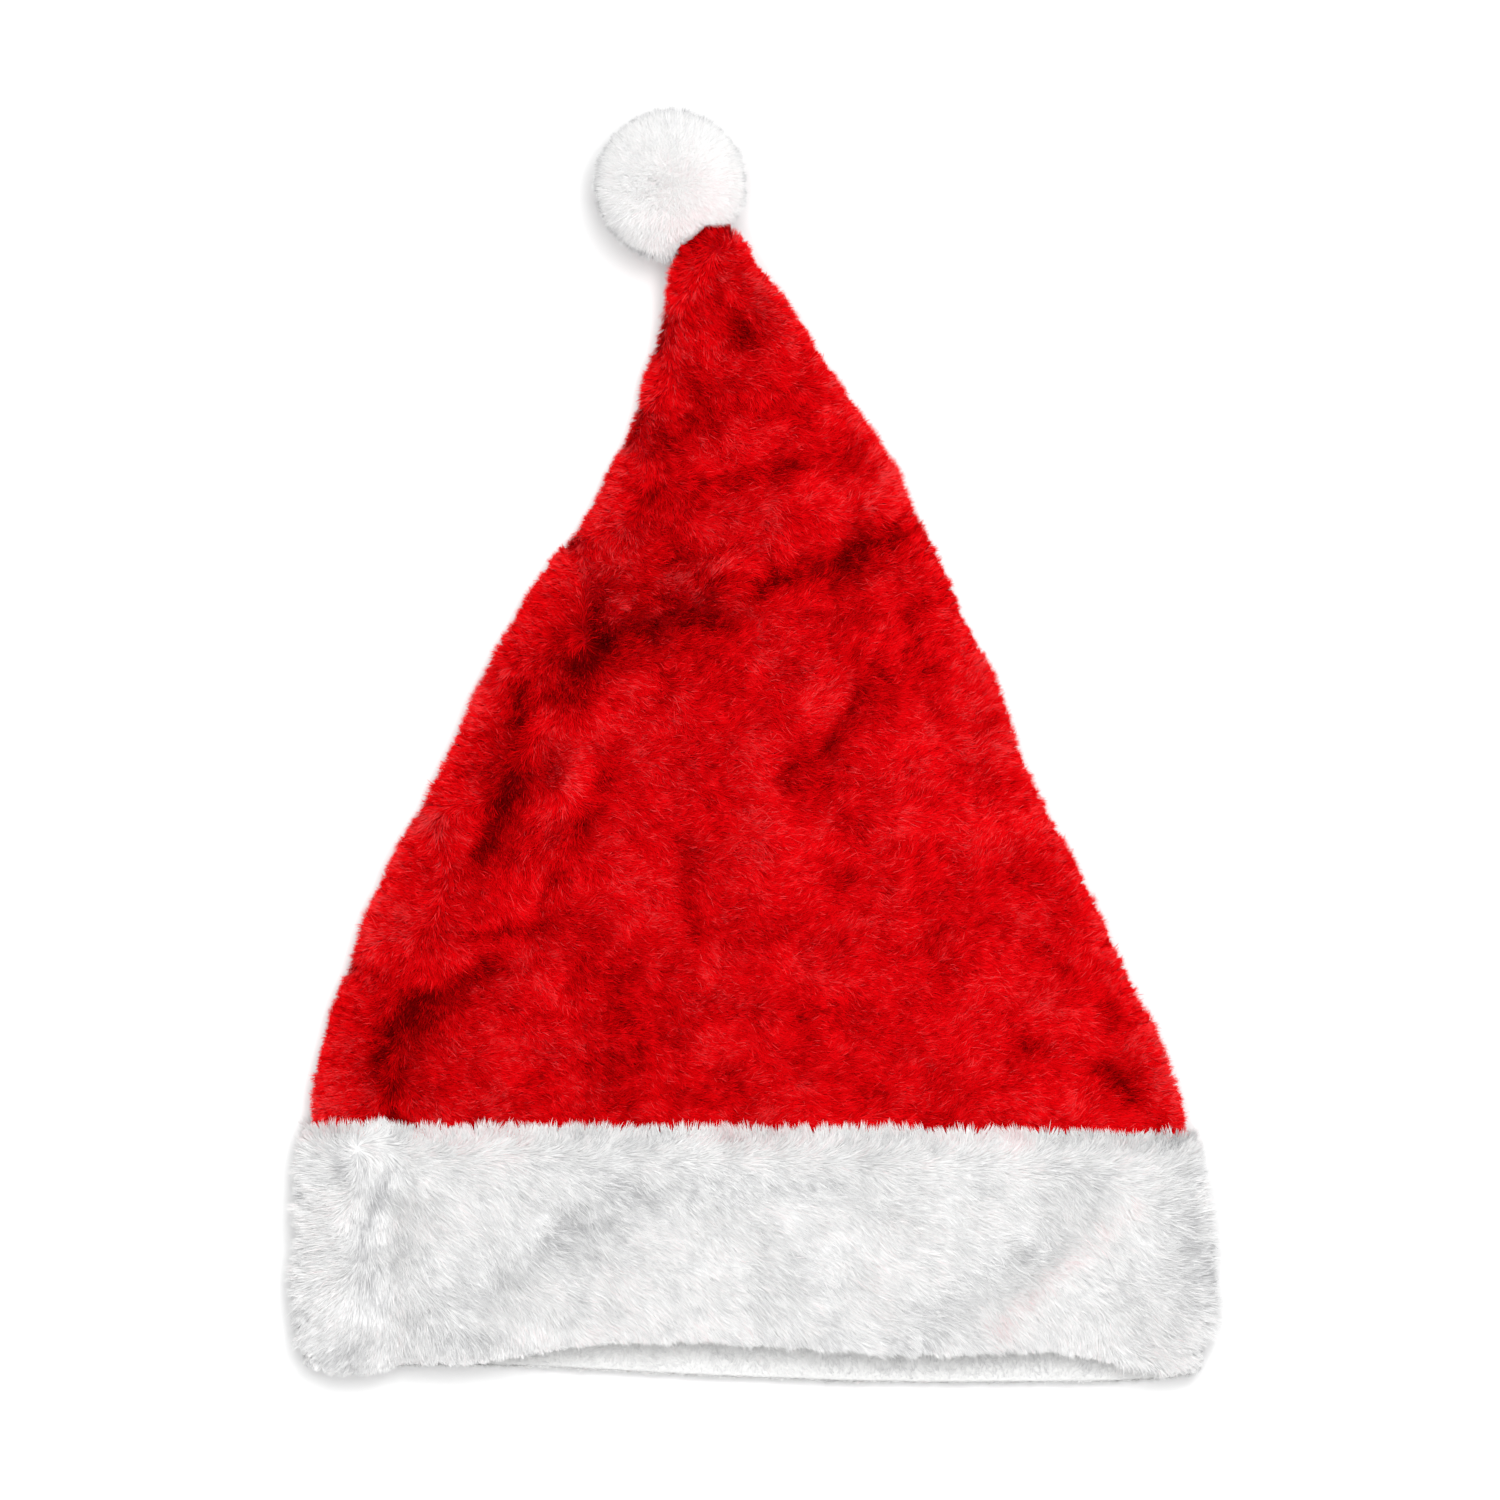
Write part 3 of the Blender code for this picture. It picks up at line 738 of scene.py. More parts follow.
class PileTree:
    """The Geometry Nodes tree that plants, bends and clumps the hairs of a pile on a skin.

    The skin's points carry the attributes nap, length, rise, tone, density, stray and tuft.
    """

    UV_NAME = "OFBake"
    UV_WIDTH = 0.012
    LIFT_OFF_FLOOR = 0.12
    TONE_DRAW, LENGTH_DRAW, TURN_DRAW, RISE_DRAW = 3, 5, 7, 9
    LEAST_RISE, MOST_RISE = 0.6, 1.4
    WAVE_GAIN = 4.0
    SINK = 0.6
    TIP_POWER = 1.6
    INPUTS = (
        ("Hair", "NodeSocketObject"),
        ("Finish", "NodeSocketMaterial"),
        ("Density", "NodeSocketFloat"),
        ("Seed", "NodeSocketInt"),
        ("Width", "NodeSocketFloat"),
        ("Yaw", "NodeSocketFloat"),
        ("Roll", "NodeSocketFloat"),
        ("Clump Size", "NodeSocketFloat"),
        ("Clump Pull", "NodeSocketFloat"),
        ("Clump Spread", "NodeSocketFloat"),
        ("Clump Tone", "NodeSocketFloat"),
        ("Tuft Size", "NodeSocketFloat"),
        ("Tuft Pull", "NodeSocketFloat"),
        ("Tuft Spread", "NodeSocketFloat"),
        ("Wave Size", "NodeSocketFloat"),
        ("Wave", "NodeSocketFloat"),
        ("Length Spread", "NodeSocketFloat"),
        ("Tone Spread", "NodeSocketFloat"),
    )
    SCRATCH = ("nap", "length", "rise", "tone", "density", "stray", "tuft", "root", "clump", "up",
               "along", "side", "hair_tone", "hair_length")

    def __init__(self) -> None:
        """Builds the tree."""
        self.tree = bpy.data.node_groups.new("pile", "GeometryNodeTree")
        self.sockets: Dict[str, str] = {}
        face = self.tree.interface
        face.new_socket(name="Geometry", in_out="INPUT", socket_type="NodeSocketGeometry")
        for name, kind in self.INPUTS:
            self.sockets[name] = face.new_socket(name=name, in_out="INPUT", socket_type=kind).identifier
        face.new_socket(name="Geometry", in_out="OUTPUT", socket_type="NodeSocketGeometry")
        self.write = TreeWriter(self.tree)
        self.given = self.write.node("NodeGroupInput").outputs
        grown = self.bend(self.plant())
        self.write.node("NodeGroupOutput", {"Geometry": self.finish(grown)})

    def plant(self) -> bpy.types.NodeSocket:
        """Scatters the roots and stands a straight hair on each.

        Returns:
            The realized hairs.
        """
        w, given = self.write, self.given
        spread = w.node("GeometryNodeDistributePointsOnFaces", {
            "Mesh": given["Geometry"],
            "Density": w.math("MULTIPLY", w.read("density"), given["Density"]),
            "Seed": given["Seed"],
        })
        points, normal = spread.outputs["Points"], spread.outputs["Normal"]
        place = w.node("GeometryNodeInputPosition").outputs["Position"]
        tuft = w.read("tuft")
        loose = w.math("SUBTRACT", 1.0, tuft)
        clump_share = w.math("MULTIPLY", given["Clump Pull"], loose)
        fine, cell = self.gather(place, normal, given["Clump Size"], clump_share)
        tuft_share = w.math("MULTIPLY", given["Tuft Pull"], tuft)
        coarse, big = self.gather(place, normal, given["Tuft Size"], tuft_share)
        points = w.store(points, "clump", w.vector("ADD", fine, coarse), "FLOAT_VECTOR", "POINT")
        points = w.store(points, "root", place, "FLOAT_VECTOR", "POINT")
        points = w.store(points, "up", normal, "FLOAT_VECTOR", "POINT")
        stray = w.chance(w.math("MULTIPLY", given["Tone Spread"], -1.0), given["Tone Spread"], self.TONE_DRAW)
        parted = w.math("MULTIPLY", w.math("SUBTRACT", 0.5, big["X"]), tuft)
        shared = w.math("ADD", w.math("SUBTRACT", cell["Y"], 0.5), parted)
        shared = w.math("MULTIPLY", shared, given["Clump Tone"])
        tone = w.math("ADD", w.math("ADD", w.read("tone"), stray), shared, clamp=True)
        points = w.store(points, "hair_tone", tone, "FLOAT", "POINT")
        shorter = w.chance(w.math("SUBTRACT", 1.0, given["Length Spread"]), 1.0, self.LENGTH_DRAW)
        tuft_cut = w.math("MULTIPLY", w.math("MULTIPLY", big["X"], given["Tuft Spread"]), tuft)
        clump_cut = w.math("MULTIPLY", w.math("MULTIPLY", cell["X"], given["Clump Spread"]), loose)
        kept = w.math("SUBTRACT", 1.0, w.math("ADD", tuft_cut, clump_cut))
        length = w.math("MULTIPLY", w.math("MULTIPLY", w.read("length"), shorter), kept)
        points = w.store(points, "hair_length", length, "FLOAT", "POINT")
        aim = w.node("FunctionNodeAlignRotationToVector", {"Vector": normal}, axis="Z")
        aim = w.node("FunctionNodeAlignRotationToVector", {
            "Rotation": aim.outputs["Rotation"], "Vector": w.read("nap", "FLOAT_VECTOR"),
        }, axis="X", pivot_axis="Z")
        yaw = w.math("MULTIPLY", given["Yaw"], w.read("stray"))
        limit = w.node("ShaderNodeCombineXYZ", {"X": given["Roll"], "Y": 0.0, "Z": yaw}).outputs["Vector"]
        stray = w.chance(w.scaled(limit, -1.0), limit, self.TURN_DRAW, "FLOAT_VECTOR")
        turn = w.node("FunctionNodeRotateRotation", {
            "Rotation": aim.outputs["Rotation"], "Rotate By": stray,
        }, rotation_space="LOCAL")
        rise = w.math("MULTIPLY", w.read("rise"), w.chance(self.LEAST_RISE, self.MOST_RISE, self.RISE_DRAW))
        run = w.math("MULTIPLY", length, w.math("COSINE", rise))
        stand = w.math("MULTIPLY", length, w.math("SINE", rise))
        size = w.node("ShaderNodeCombineXYZ", {"X": run, "Y": given["Width"], "Z": stand}).outputs["Vector"]
        hair = w.node("GeometryNodeObjectInfo", {"Object": given["Hair"]}).outputs["Geometry"]
        planted = w.node("GeometryNodeInstanceOnPoints", {
            "Points": points, "Instance": hair, "Rotation": turn.outputs["Rotation"], "Scale": size,
        })
        made = w.node("GeometryNodeRealizeInstances", {"Geometry": planted.outputs["Instances"]})
        return made.outputs["Geometry"]

    def gather(self, place: Any, normal: Any, size: Any, share: Any) -> Tuple[Any, Any]:
        """Sorts roots into clumps.

        Args:
            place: The roots' places.
            normal: The skin's normals there.
            size: The width of a clump.
            share: How far tips are drawn to their clump's middle.

        Returns:
            How far each tip is drawn along the skin, and three random numbers for its clump.
        """
        w = self.write
        cells = w.node("ShaderNodeTexVoronoi", {"Vector": place, "Scale": w.math("DIVIDE", 1.0, size)})
        pull = w.vector("SUBTRACT", cells.outputs["Position"], place)
        pull = w.vector("SUBTRACT", pull, w.scaled(normal, w.vector("DOT_PRODUCT", pull, normal)))
        return w.scaled(pull, share), w.node("ShaderNodeSeparateXYZ", {0: cells.outputs["Color"]}).outputs

    def bend(self, hairs: bpy.types.NodeSocket) -> bpy.types.NodeSocket:
        """Draws tips together in clumps, waves them, and keeps them off the floor.

        Args:
            hairs: The straight hairs.

        Returns:
            The bent hairs.
        """
        w, given = self.write, self.given
        root = w.read("root", "FLOAT_VECTOR")
        noise = w.node("ShaderNodeTexNoise", {
            "Vector": root, "Scale": w.math("DIVIDE", 1.0, given["Wave Size"]), "Detail": 1.0,
        })
        stray = w.vector("SUBTRACT", noise.outputs["Color"], (0.5, 0.5, 0.5))
        reach = w.math("MULTIPLY", w.math("MULTIPLY", given["Wave"], self.WAVE_GAIN), w.read("hair_length"))
        stray = w.scaled(stray, reach)
        up = w.read("up", "FLOAT_VECTOR")
        sink = w.scaled(up, w.math("MULTIPLY", w.vector("DOT_PRODUCT", stray, up), self.SINK))
        stray = w.vector("SUBTRACT", stray, sink)
        both = w.vector("ADD", stray, w.read("clump", "FLOAT_VECTOR"))
        offset = w.scaled(both, w.math("POWER", w.read("along"), self.TIP_POWER))
        hairs = w.node("GeometryNodeSetPosition", {"Geometry": hairs, "Offset": offset}).outputs["Geometry"]
        place = w.node("ShaderNodeSeparateXYZ", {0: w.node("GeometryNodeInputPosition").outputs[0]}).outputs
        above = w.math("MAXIMUM", place["Z"], (FLOOR_Z + self.LIFT_OFF_FLOOR) * MM)
        kept = w.node("ShaderNodeCombineXYZ", {"X": place["X"], "Y": place["Y"], "Z": above})
        inputs = {"Geometry": hairs, "Position": kept.outputs["Vector"]}
        return w.node("GeometryNodeSetPosition", inputs).outputs["Geometry"]

    def finish(self, hairs: bpy.types.NodeSocket) -> bpy.types.NodeSocket:
        """Writes the UV map of tone and length, smooths the hairs and sets their finish.

        Args:
            hairs: The bent hairs.

        Returns:
            The finished hairs.
        """
        w = self.write
        tone = w.math("ADD", w.read("hair_tone"), w.math("MULTIPLY", w.read("side"), self.UV_WIDTH))
        place = w.node("ShaderNodeCombineXYZ", {"X": tone, "Y": w.read("along"), "Z": 0.0}).outputs["Vector"]
        hairs = w.store(hairs, self.UV_NAME, place, "FLOAT2", "CORNER")
        hairs = w.node("GeometryNodeSetShadeSmooth", {"Geometry": hairs}).outputs["Geometry"]
        inputs = {"Geometry": hairs, "Material": self.given["Finish"]}
        return w.node("GeometryNodeSetMaterial", inputs).outputs["Geometry"]


class Hair:
    """The hair that a pile repeats: a tapered ribbon of length one that bends over and ends in a point."""

    WAIST = 0.85
    STATION_POWER = 0.9

    @classmethod
    def make(cls, segments: int) -> bpy.types.Object:
        """Makes the ribbon.

        Args:
            segments: How many lengths it has.

        Returns:
            The hair's object, which is shown nowhere.
        """
        stations = [(i / segments) ** cls.STATION_POWER for i in range(segments + 1)]
        verts: List[Tuple[float, float, float]] = []
        along: List[float] = []
        side: List[float] = []
        for number, t in enumerate(stations):
            half = 0.5 * (1.0 - (1.0 - cls.WAIST) * number) if number < segments else 0.0
            for way in ((-1.0, 1.0) if half else (0.0,)):
                verts.append((t, way * half, 1.0 - (1.0 - t) ** 2))
                along.append(t)
                side.append(way)
        faces = [(2 * i, 2 * i + 1, 2 * i + 3, 2 * i + 2) for i in range(segments - 1)]
        faces.append((2 * segments - 2, 2 * segments - 1, 2 * segments))
        mesh = bpy.data.meshes.new(f"hair_{segments}")
        mesh.from_pydata(verts, [], faces)
        for name, values in (("along", along), ("side", side)):
            mesh.attributes.new(name, "FLOAT", "POINT").data.foreach_set("value", values)
        return bpy.data.objects.new(mesh.name, mesh)


@dataclass(frozen=True)
class Finish:
    """A pile's or cloth's finish.

    Attributes:
        name: The material's name.
        tones: The colours from the darkest hair to the lightest, as (place, colour).
        root_shade: How dark a hair is at its root, as a share of its colour: painted shade where the hairs
            shadow each other.
        roughness: The roughness of the hairs.
        specular: The strength of their gloss.
        gloss_tint: The colour of their gloss.
    """

    name: str
    tones: Tuple[Tuple[float, Tuple[float, float, float]], ...]
    root_shade: float
    roughness: float = 0.6
    specular: float = 0.2
    gloss_tint: Tuple[float, float, float] = (1.0, 1.0, 1.0)
    LENGTH_POWER = 0.8
    STITCH_SHARE, CLOUD_SHARE = 0.5, 0.6
    CLOUD_SCALE, CLOUD_DETAIL = 0.12, 4.0
    BUMP_STRENGTH = 0.6

    def start(self) -> Tuple[bpy.types.Material, TreeWriter, bpy.types.Node]:
        """A new material, its tree's writer and its shader with the constant sockets set."""
        material = bpy.data.materials.new(self.name)
        material.use_nodes = True
        writer = TreeWriter(material.node_tree)
        shader = material.node_tree.nodes["Principled BSDF"]
        constants = {
            "Roughness": self.roughness,
            "Metallic": 0.0,
            "Specular IOR Level": self.specular,
            "Specular Tint": (*self.gloss_tint, 1.0),
        }
        for name, value in constants.items():
            shader.inputs[name].default_value = value
        return material, writer, shader

    def ramp(self, writer: TreeWriter, factor: Any) -> bpy.types.NodeSocket:
        """The tones as a colour ramp."""
        node = writer.node("ShaderNodeValToRGB", {"Fac": factor})
        stops = node.color_ramp.elements
        while len(stops) < len(self.tones):
            stops.new(0.5)
        for stop, (place, colour) in zip(stops, self.tones):
            stop.position = place
            stop.color = (*colour, 1.0)
        return node.outputs["Color"]

    def hair_material(self) -> bpy.types.Material:
        """A material for hairs, which reads tone and length from their UV map.

        Returns:
            The material.
        """
        material, writer, shader = self.start()
        uv = writer.node("ShaderNodeUVMap", uv_map=PileTree.UV_NAME).outputs["UV"]
        place = writer.node("ShaderNodeSeparateXYZ", {0: uv}).outputs
        colour = self.ramp(writer, place["X"])
        grown = writer.math("POWER", place["Y"], self.LENGTH_POWER)
        # Painted shade, darkest at each hair's root
        shade = writer.math("ADD", self.root_shade, writer.math("MULTIPLY", grown, 1.0 - self.root_shade))
        writer.feed(shader.inputs["Base Color"], writer.scaled(colour, shade))
        return material

    def cloth_material(self, weave: float, bump: float) -> bpy.types.Material:
        """A material for the knitted backing.

        Args:
            weave: The width of one stitch.
            bump: The depth of the stitches.

        Returns:
            The material.
        """
        material, writer, shader = self.start()
        place = writer.node("ShaderNodeTexCoord").outputs["Object"]
        cells = writer.node("ShaderNodeTexVoronoi", {"Vector": place, "Scale": 1.0 / (weave * MM)})
        cloud = writer.node("ShaderNodeTexNoise", {
            "Vector": place, "Scale": self.CLOUD_SCALE / (weave * MM), "Detail": self.CLOUD_DETAIL,
        })
        stitch = writer.math("MULTIPLY", cells.outputs["Distance"], self.STITCH_SHARE)
        tone = writer.math("ADD", stitch, writer.math("MULTIPLY", cloud.outputs[0], self.CLOUD_SHARE))
        writer.feed(shader.inputs["Base Color"], self.ramp(writer, tone))
        raised = writer.node("ShaderNodeBump", {
            "Strength": self.BUMP_STRENGTH, "Distance": bump * MM, "Height": cells.outputs["Distance"],
        })
        writer.feed(shader.inputs["Normal"], raised.outputs["Normal"])
        return material


# The darkest red tones carry painted shade for the hollows and the lightest carry painted highlights
RED_PILE = Finish(
    name="red_plush_pile",
    tones=((0.0, (0.20, 0.0, 0.001)), (0.22, (0.53, 0.0003, 0.0015)), (0.45, (0.84, 0.0006, 0.003)),
           (0.75, (0.94, 0.004, 0.008)), (1.0, (0.98, 0.05, 0.055))),
    root_shade=0.6,
    specular=0.05,
    gloss_tint=(1.0, 0.15, 0.13),
)
# The darkest white tones carry painted shade and the pink tones a painted reflection of the red crown
WHITE_PILE = Finish(
    name="white_fur_pile",
    tones=((0.0, (0.52, 0.52, 0.53)), (0.22, (0.72, 0.72, 0.725)), (0.42, (0.87, 0.87, 0.87)),
           (0.62, (0.97, 0.97, 0.965)), (0.76, (0.94, 0.90, 0.90)), (1.0, (0.90, 0.74, 0.75))),
    root_shade=0.86,
    specular=0.1,
)
RED_BACKING = Finish(
    name="red_plush_backing",
    tones=((0.2, (0.28, 0.001, 0.003)), (0.8, (0.45, 0.0015, 0.005))),
    root_shade=1.0,
    roughness=0.9,
    specular=0.05,
    gloss_tint=(1.0, 0.2, 0.2),
)
WHITE_BACKING = Finish(
    name="white_fur_backing",
    tones=((0.2, (0.80, 0.80, 0.80)), (0.8, (0.90, 0.90, 0.89))),
    root_shade=1.0,
    roughness=0.9,
    specular=0.1,
)


def mesh_of(name: str, points: np.ndarray, faces: Sequence[Sequence[int]]) -> bpy.types.Object:
    """A shown mesh object.

    Args:
        name: The object's name.
        points: Its points, in millimetres.
        faces: Its faces.

    Returns:
        The object, at the origin.
    """
    mesh = bpy.data.meshes.new(name)
    mesh.from_pydata((points.reshape(-1, 3) * MM).tolist(), [], faces)
    mesh.update()
    mesh.shade_smooth()
    made = bpy.data.objects.new(name, mesh)
    bpy.context.scene.collection.objects.link(made)
    return made


def grid_faces(rows: int, columns: int, closed: bool, flip: bool = False) -> List[Tuple[int, ...]]:
    """The four-sided faces of a grid of points.

    Args:
        rows: How many rows it has.
        columns: How many columns.
        closed: Whether the last column joins the first.
        flip: Whether the faces are turned round.

    Returns:
        The faces.
    """
    last = columns if closed else columns - 1
    i, j = (a.ravel() for a in np.meshgrid(np.arange(rows - 1), np.arange(last), indexing="ij"))
    k = (j + 1) % columns
    quads = np.stack([i * columns + j, i * columns + k, (i + 1) * columns + k, (i + 1) * columns + j], axis=1)
    return [tuple(quad) for quad in (quads[:, ::-1] if flip else quads).tolist()]


def tube_faces(rows: int, columns: int) -> List[Tuple[int, ...]]:
    """The faces of a grid of points whose rows are closed rings, with a face over each end."""
    faces = grid_faces(rows, columns, closed=True)
    faces.append(tuple(range(columns))[::-1])
    faces.append(tuple(range((rows - 1) * columns, rows * columns)))
    return faces


def ride_as(piece: bpy.types.Object, node: str) -> None:
    """Lets a piece ride on the hat's body and stand for a node, whose own part is hidden."""
    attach(piece, BODY)
    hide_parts(node)


class PileMaker:
    """Grows piles on skins with one shared tree."""

    def __init__(self) -> None:
        """Builds the tree and an empty cupboard of hairs."""
        self.tree = PileTree()
        self.hairs: Dict[int, bpy.types.Object] = {}

    def grow(
        self,
        name: str,
        skin: Skin,
        pile: Pile,
        fields: Dict[str, np.ndarray],
        finish: bpy.types.Material,
        seed: int,
    ) -> bpy.types.Object:
        """Grows one piece of pile.

        Args:
            name: The piece's name.
            skin: Where it grows.
            pile: Its kind.
            fields: What the tree reads at the skin's points, with length in millimetres and rise in degrees.
            finish: Its material.
            seed: The seed of its roots.

        Returns:
            The pile as a plain mesh object.
        """
        if pile.segments not in self.hairs:
            self.hairs[pile.segments] = Hair.make(pile.segments)
        rows, columns = skin.points.shape[:2]
        ground = mesh_of(f"{name}_skin", skin.points, grid_faces(rows, columns, closed=False, flip=skin.flip))
        values = {**fields, "length": fields["length"] * MM, "rise": np.radians(fields["rise"])}
        for key, value in values.items():
            kind = "FLOAT_VECTOR" if value.ndim == 3 else "FLOAT"
            layer = ground.data.attributes.new(key, kind, "POINT")
            layer.data.foreach_set("vector" if value.ndim == 3 else "value", value.ravel().astype(np.float32))
        weighted = float((skin.areas() * fields["density"]).sum()) * MM * MM
        inputs = {
            "Hair": self.hairs[pile.segments],
            "Finish": finish,
            "Density": pile.hairs / weighted,
            "Seed": seed,
            "Yaw": math.radians(pile.yaw),
            "Roll": math.radians(pile.roll),
        }
        for size in ("width", "clump_size", "tuft_size", "wave_size"):
            inputs[size.replace("_", " ").title()] = getattr(pile, size) * MM
        for share in ("clump_pull", "clump_spread", "clump_tone", "tuft_pull", "tuft_spread", "wave",
                      "length_spread", "tone_spread"):
            inputs[share.replace("_", " ").title()] = getattr(pile, share)
        modifier = ground.modifiers.new("pile", "NODES")
        modifier.node_group = self.tree.tree
        for key, value in inputs.items():
            modifier[self.tree.sockets[key]] = value
        graph = bpy.context.evaluated_depsgraph_get()
        mesh = bpy.data.meshes.new_from_object(ground.evaluated_get(graph))
        for scratch in self.tree.SCRATCH:
            if scratch in mesh.attributes:
                mesh.attributes.remove(mesh.attributes[scratch])
        mesh.name = name
        grown = bpy.data.objects.new(name, mesh)
        bpy.context.scene.collection.objects.link(grown)
        bpy.data.objects.remove(ground)
        LOG.info("%s: %d faces", name, len(mesh.polygons))
        return grown


def spaced(low: float, high: float, step: float) -> np.ndarray:
    """Even stations from low to high, about a step apart."""
    return np.linspace(low, high, max(2, round((high - low) / step) + 1))


@dataclass
class Crown:
    """The red plush cone: its knitted backing and the pile on its front and back.

    Attributes:
        makers: What grows piles.
        step: The spacing of the backing's rings.
        around: How many points a ring of the backing has.
        inner_step: The spacing of the hollow's rings.
        inner_tip_y: How far up the hollow reaches.
        skin_step: The spacing of the rings that the pile grows on.
        skin_columns: How many points such a ring has.
        pile_from_hem: How far above the crown's hem the pile starts, under the band's fringe.
        pile_from_tip: How far below the crown's tip it ends.
        pile_split_y: Where the front's lower and upper pile meet.
        pile_length: The length of the pile's hairs.
        crest: The line along the long fold where the pile stands up in tufts.
        crest_width: How wide that place is.
        edge_width: How far in from the outline the pile stands out sideways.
        sway: How much the way of the pile changes from place to place, in degrees.
        sway_at_edge: How much less it changes at the outline, as a share.
        more_rise: How much more the pile stands up than it is combed, in degrees.
        heave: How much its rise changes, in degrees.
        rises: The least and the most rise.
        growth: How much its length changes, as a share.
        tone: How light the pile is.
        cloud: How its tone changes within a few centimetres.
        grain: How its tone changes within a few millimetres.
        grain_share: The strength of that grain.
        crest_grain: How much stronger the grain is on the crest.
        edge_painted_light: How much lighter the pile is at the outline, a painted highlight.
        painted_shading_share: The strength of the table of painted shade and painted highlights.
        edge_tufts: How strongly the pile parts into tufts at the outline.
        crest_tufts: The same on the crest.
        tuft_order: How much less hairs stray sideways in a tuft, as a share.
        ground: The dense pile.
        strands: The longer hairs that curl on top of it.
        back: The plain pile of the back.
    """

    makers: PileMaker
    step: float = 3.2
    around: int = 132
    inner_step: float = 4.8
    inner_tip_y: float = 152.0
    skin_step: float = 2.0
    skin_columns: int = 170
    pile_from_hem: float = 9.0
    pile_from_tip: float = 1.0
    pile_split_y: float = -36.0
    pile_length: float = 4.8
    crest: Shade = Shade(-44.0, 44.0, -6.0, 54.0, 0.0, 0.0)
    crest_width: float = 6.5
    edge_width: float = 9.0
    sway: Swell = Swell(34.0, 11, 8.0)
    sway_at_edge: float = 0.7
    more_rise: float = 4.0
    heave: Swell = Swell(9.0, 12, 8.0)
    rises: Tuple[float, float] = (8.0, 70.0)
    growth: Swell = Swell(0.16, 13, 9.0)
    tone: float = 0.53
    cloud: Swell = Swell(0.09, 14, 14.0)
    grain: Swell = Swell(1.0, 15, 3.0)
    grain_share: float = 0.08
    crest_grain: float = 0.22
    edge_painted_light: float = 0.08
    painted_shading_share: float = 0.8
    edge_tufts: float = 1.3
    crest_tufts: float = 0.9
    tuft_order: float = 0.75
    ground: Pile = Pile(
        hairs=160000, segments=1, width=0.40, yaw=20.0, clump_size=1.6, clump_pull=0.5, clump_tone=0.36,
        tuft_size=2.3, tuft_pull=0.95, wave_size=2.6, wave=0.2, tone_spread=0.2,
    )
    strands: Pile = Pile(
        hairs=26000, segments=3, width=0.25, yaw=34.0, clump_size=2.4, clump_pull=0.3, clump_spread=0.25,
        tuft_size=2.3, tuft_pull=0.95, wave_size=1.6, wave=0.5, tone_spread=0.2,
    )
    back: Pile = Pile(
        hairs=44000, segments=1, width=0.9, clump_size=3.2, clump_pull=0.4, wave_size=4.0, wave=0.2,
    )

    def backing(self) -> bpy.types.Object:
        """The sewn cloth wall, open at the mouth and closed at the tip.

        Returns:
            The backing's object.
        """
        angles = np.linspace(0.0, 2 * math.pi, self.around, endpoint=False)[None, :]
        outer = spaced(CROWN_HEM_Y, CROWN_TIP_Y, self.step)[:, None]
        inner = spaced(CROWN_HEM_Y, self.inner_tip_y, self.inner_step)[::-1][:, None]
        points = np.concatenate([
            SHAPE.crown_point(inner, angles, -CROWN_WALL),
            SHAPE.crown_point(outer, angles, -CLOTH_DEPTH),
        ])
        cloth = mesh_of("crown_cloth", points, tube_faces(len(points), self.around))
        cloth.data.materials.append(RED_BACKING.cloth_material(weave=0.9, bump=0.3))
        return cloth

    def fields(self, skin: Skin, lighter: float, longer: float) -> Dict[str, np.ndarray]:
        """How the pile is combed, how long it is and how light it is, over the crown.

        Args:
            skin: Where the pile grows.
            lighter: How much lighter it is than the ground pile, a painted highlight.
            longer: How much longer it is, as a factor.

        Returns:
            The fields that PileMaker.grow wants.
        """
        x, y = skin.points[..., 0], skin.points[..., 1]
        edge = bell(SHAPE.inside(x, y), self.edge_width)
        crest = bell(away_from(self.crest, x, y), self.crest_width)
        toward, rise = comb_over(CROWN_COMBS, x, y)
        toward = toward + self.sway.at(x, y) * (1.0 - self.sway_at_edge * edge)
        rise = np.clip(rise + self.more_rise + self.heave.at(x, y), *self.rises)
        grain = (self.grain_share + self.crest_grain * crest) * self.grain.at(x, y)
        tone = self.tone + self.cloud.at(x, y) + grain
        # Painted highlight at the outline, and painted shade and highlights from the table
        tone = tone + self.edge_painted_light * edge + self.painted_shading_share * painted_shading_over(CROWN_PAINTED_SHADING, x, y) + lighter
        tuft = np.clip(self.edge_tufts * edge + self.crest_tufts * crest, 0.0, 1.0)
        return {
            "nap": skin.nap(toward),
            "length": longer * self.pile_length * (1.0 + self.growth.at(x, y)),
            "rise": rise,
            "tone": tone,
            "density": np.ones_like(x),
            "stray": 1.0 - self.tuft_order * tuft,
            "tuft": tuft,
        }

    def piles(self) -> List[bpy.types.Object]:
        """The dense ground pile on front and back, and the longer strands that curl on top of it."""
        finish = RED_PILE.hair_material()
        low, high = CROWN_HEM_Y + self.pile_from_hem, CROWN_TIP_Y - self.pile_from_tip
        split = self.pile_split_y
        # Columns: name, side, first y, last y, pile, seed, lighter, longer
        parts = (
            ("crown_pile_lower", Side.FRONT, low, split, self.ground, 1, 0.0, 1.0),
            ("crown_pile_upper", Side.FRONT, split, high, self.ground, 2, 0.0, 1.0),
            # The strands' lighter tone is a painted highlight
            ("crown_strands", Side.FRONT, low, high, self.strands, 4, 0.24, 0.95),
            ("crown_pile_back", Side.BACK, low, high, self.back, 3, 0.0, 0.7),
        )
        made = []
        for name, side, first_y, last_y, pile, seed, lighter, longer in parts:
            stations = spaced(first_y, last_y, self.skin_step)[:, None]
            skin = Skin(SHAPE.crown_point(stations, side.angles(self.skin_columns), -CLOTH_DEPTH))
            made.append(self.makers.grow(name, skin, pile, self.fields(skin, lighter, longer), finish, seed))
        return made

    def build(self) -> None:
        cloth = self.backing()
        piles = self.piles()
        for piece in (cloth, *piles):
            ride_as(piece, "crown")
        LOG.info("crown: cloth and %d piles", len(piles))


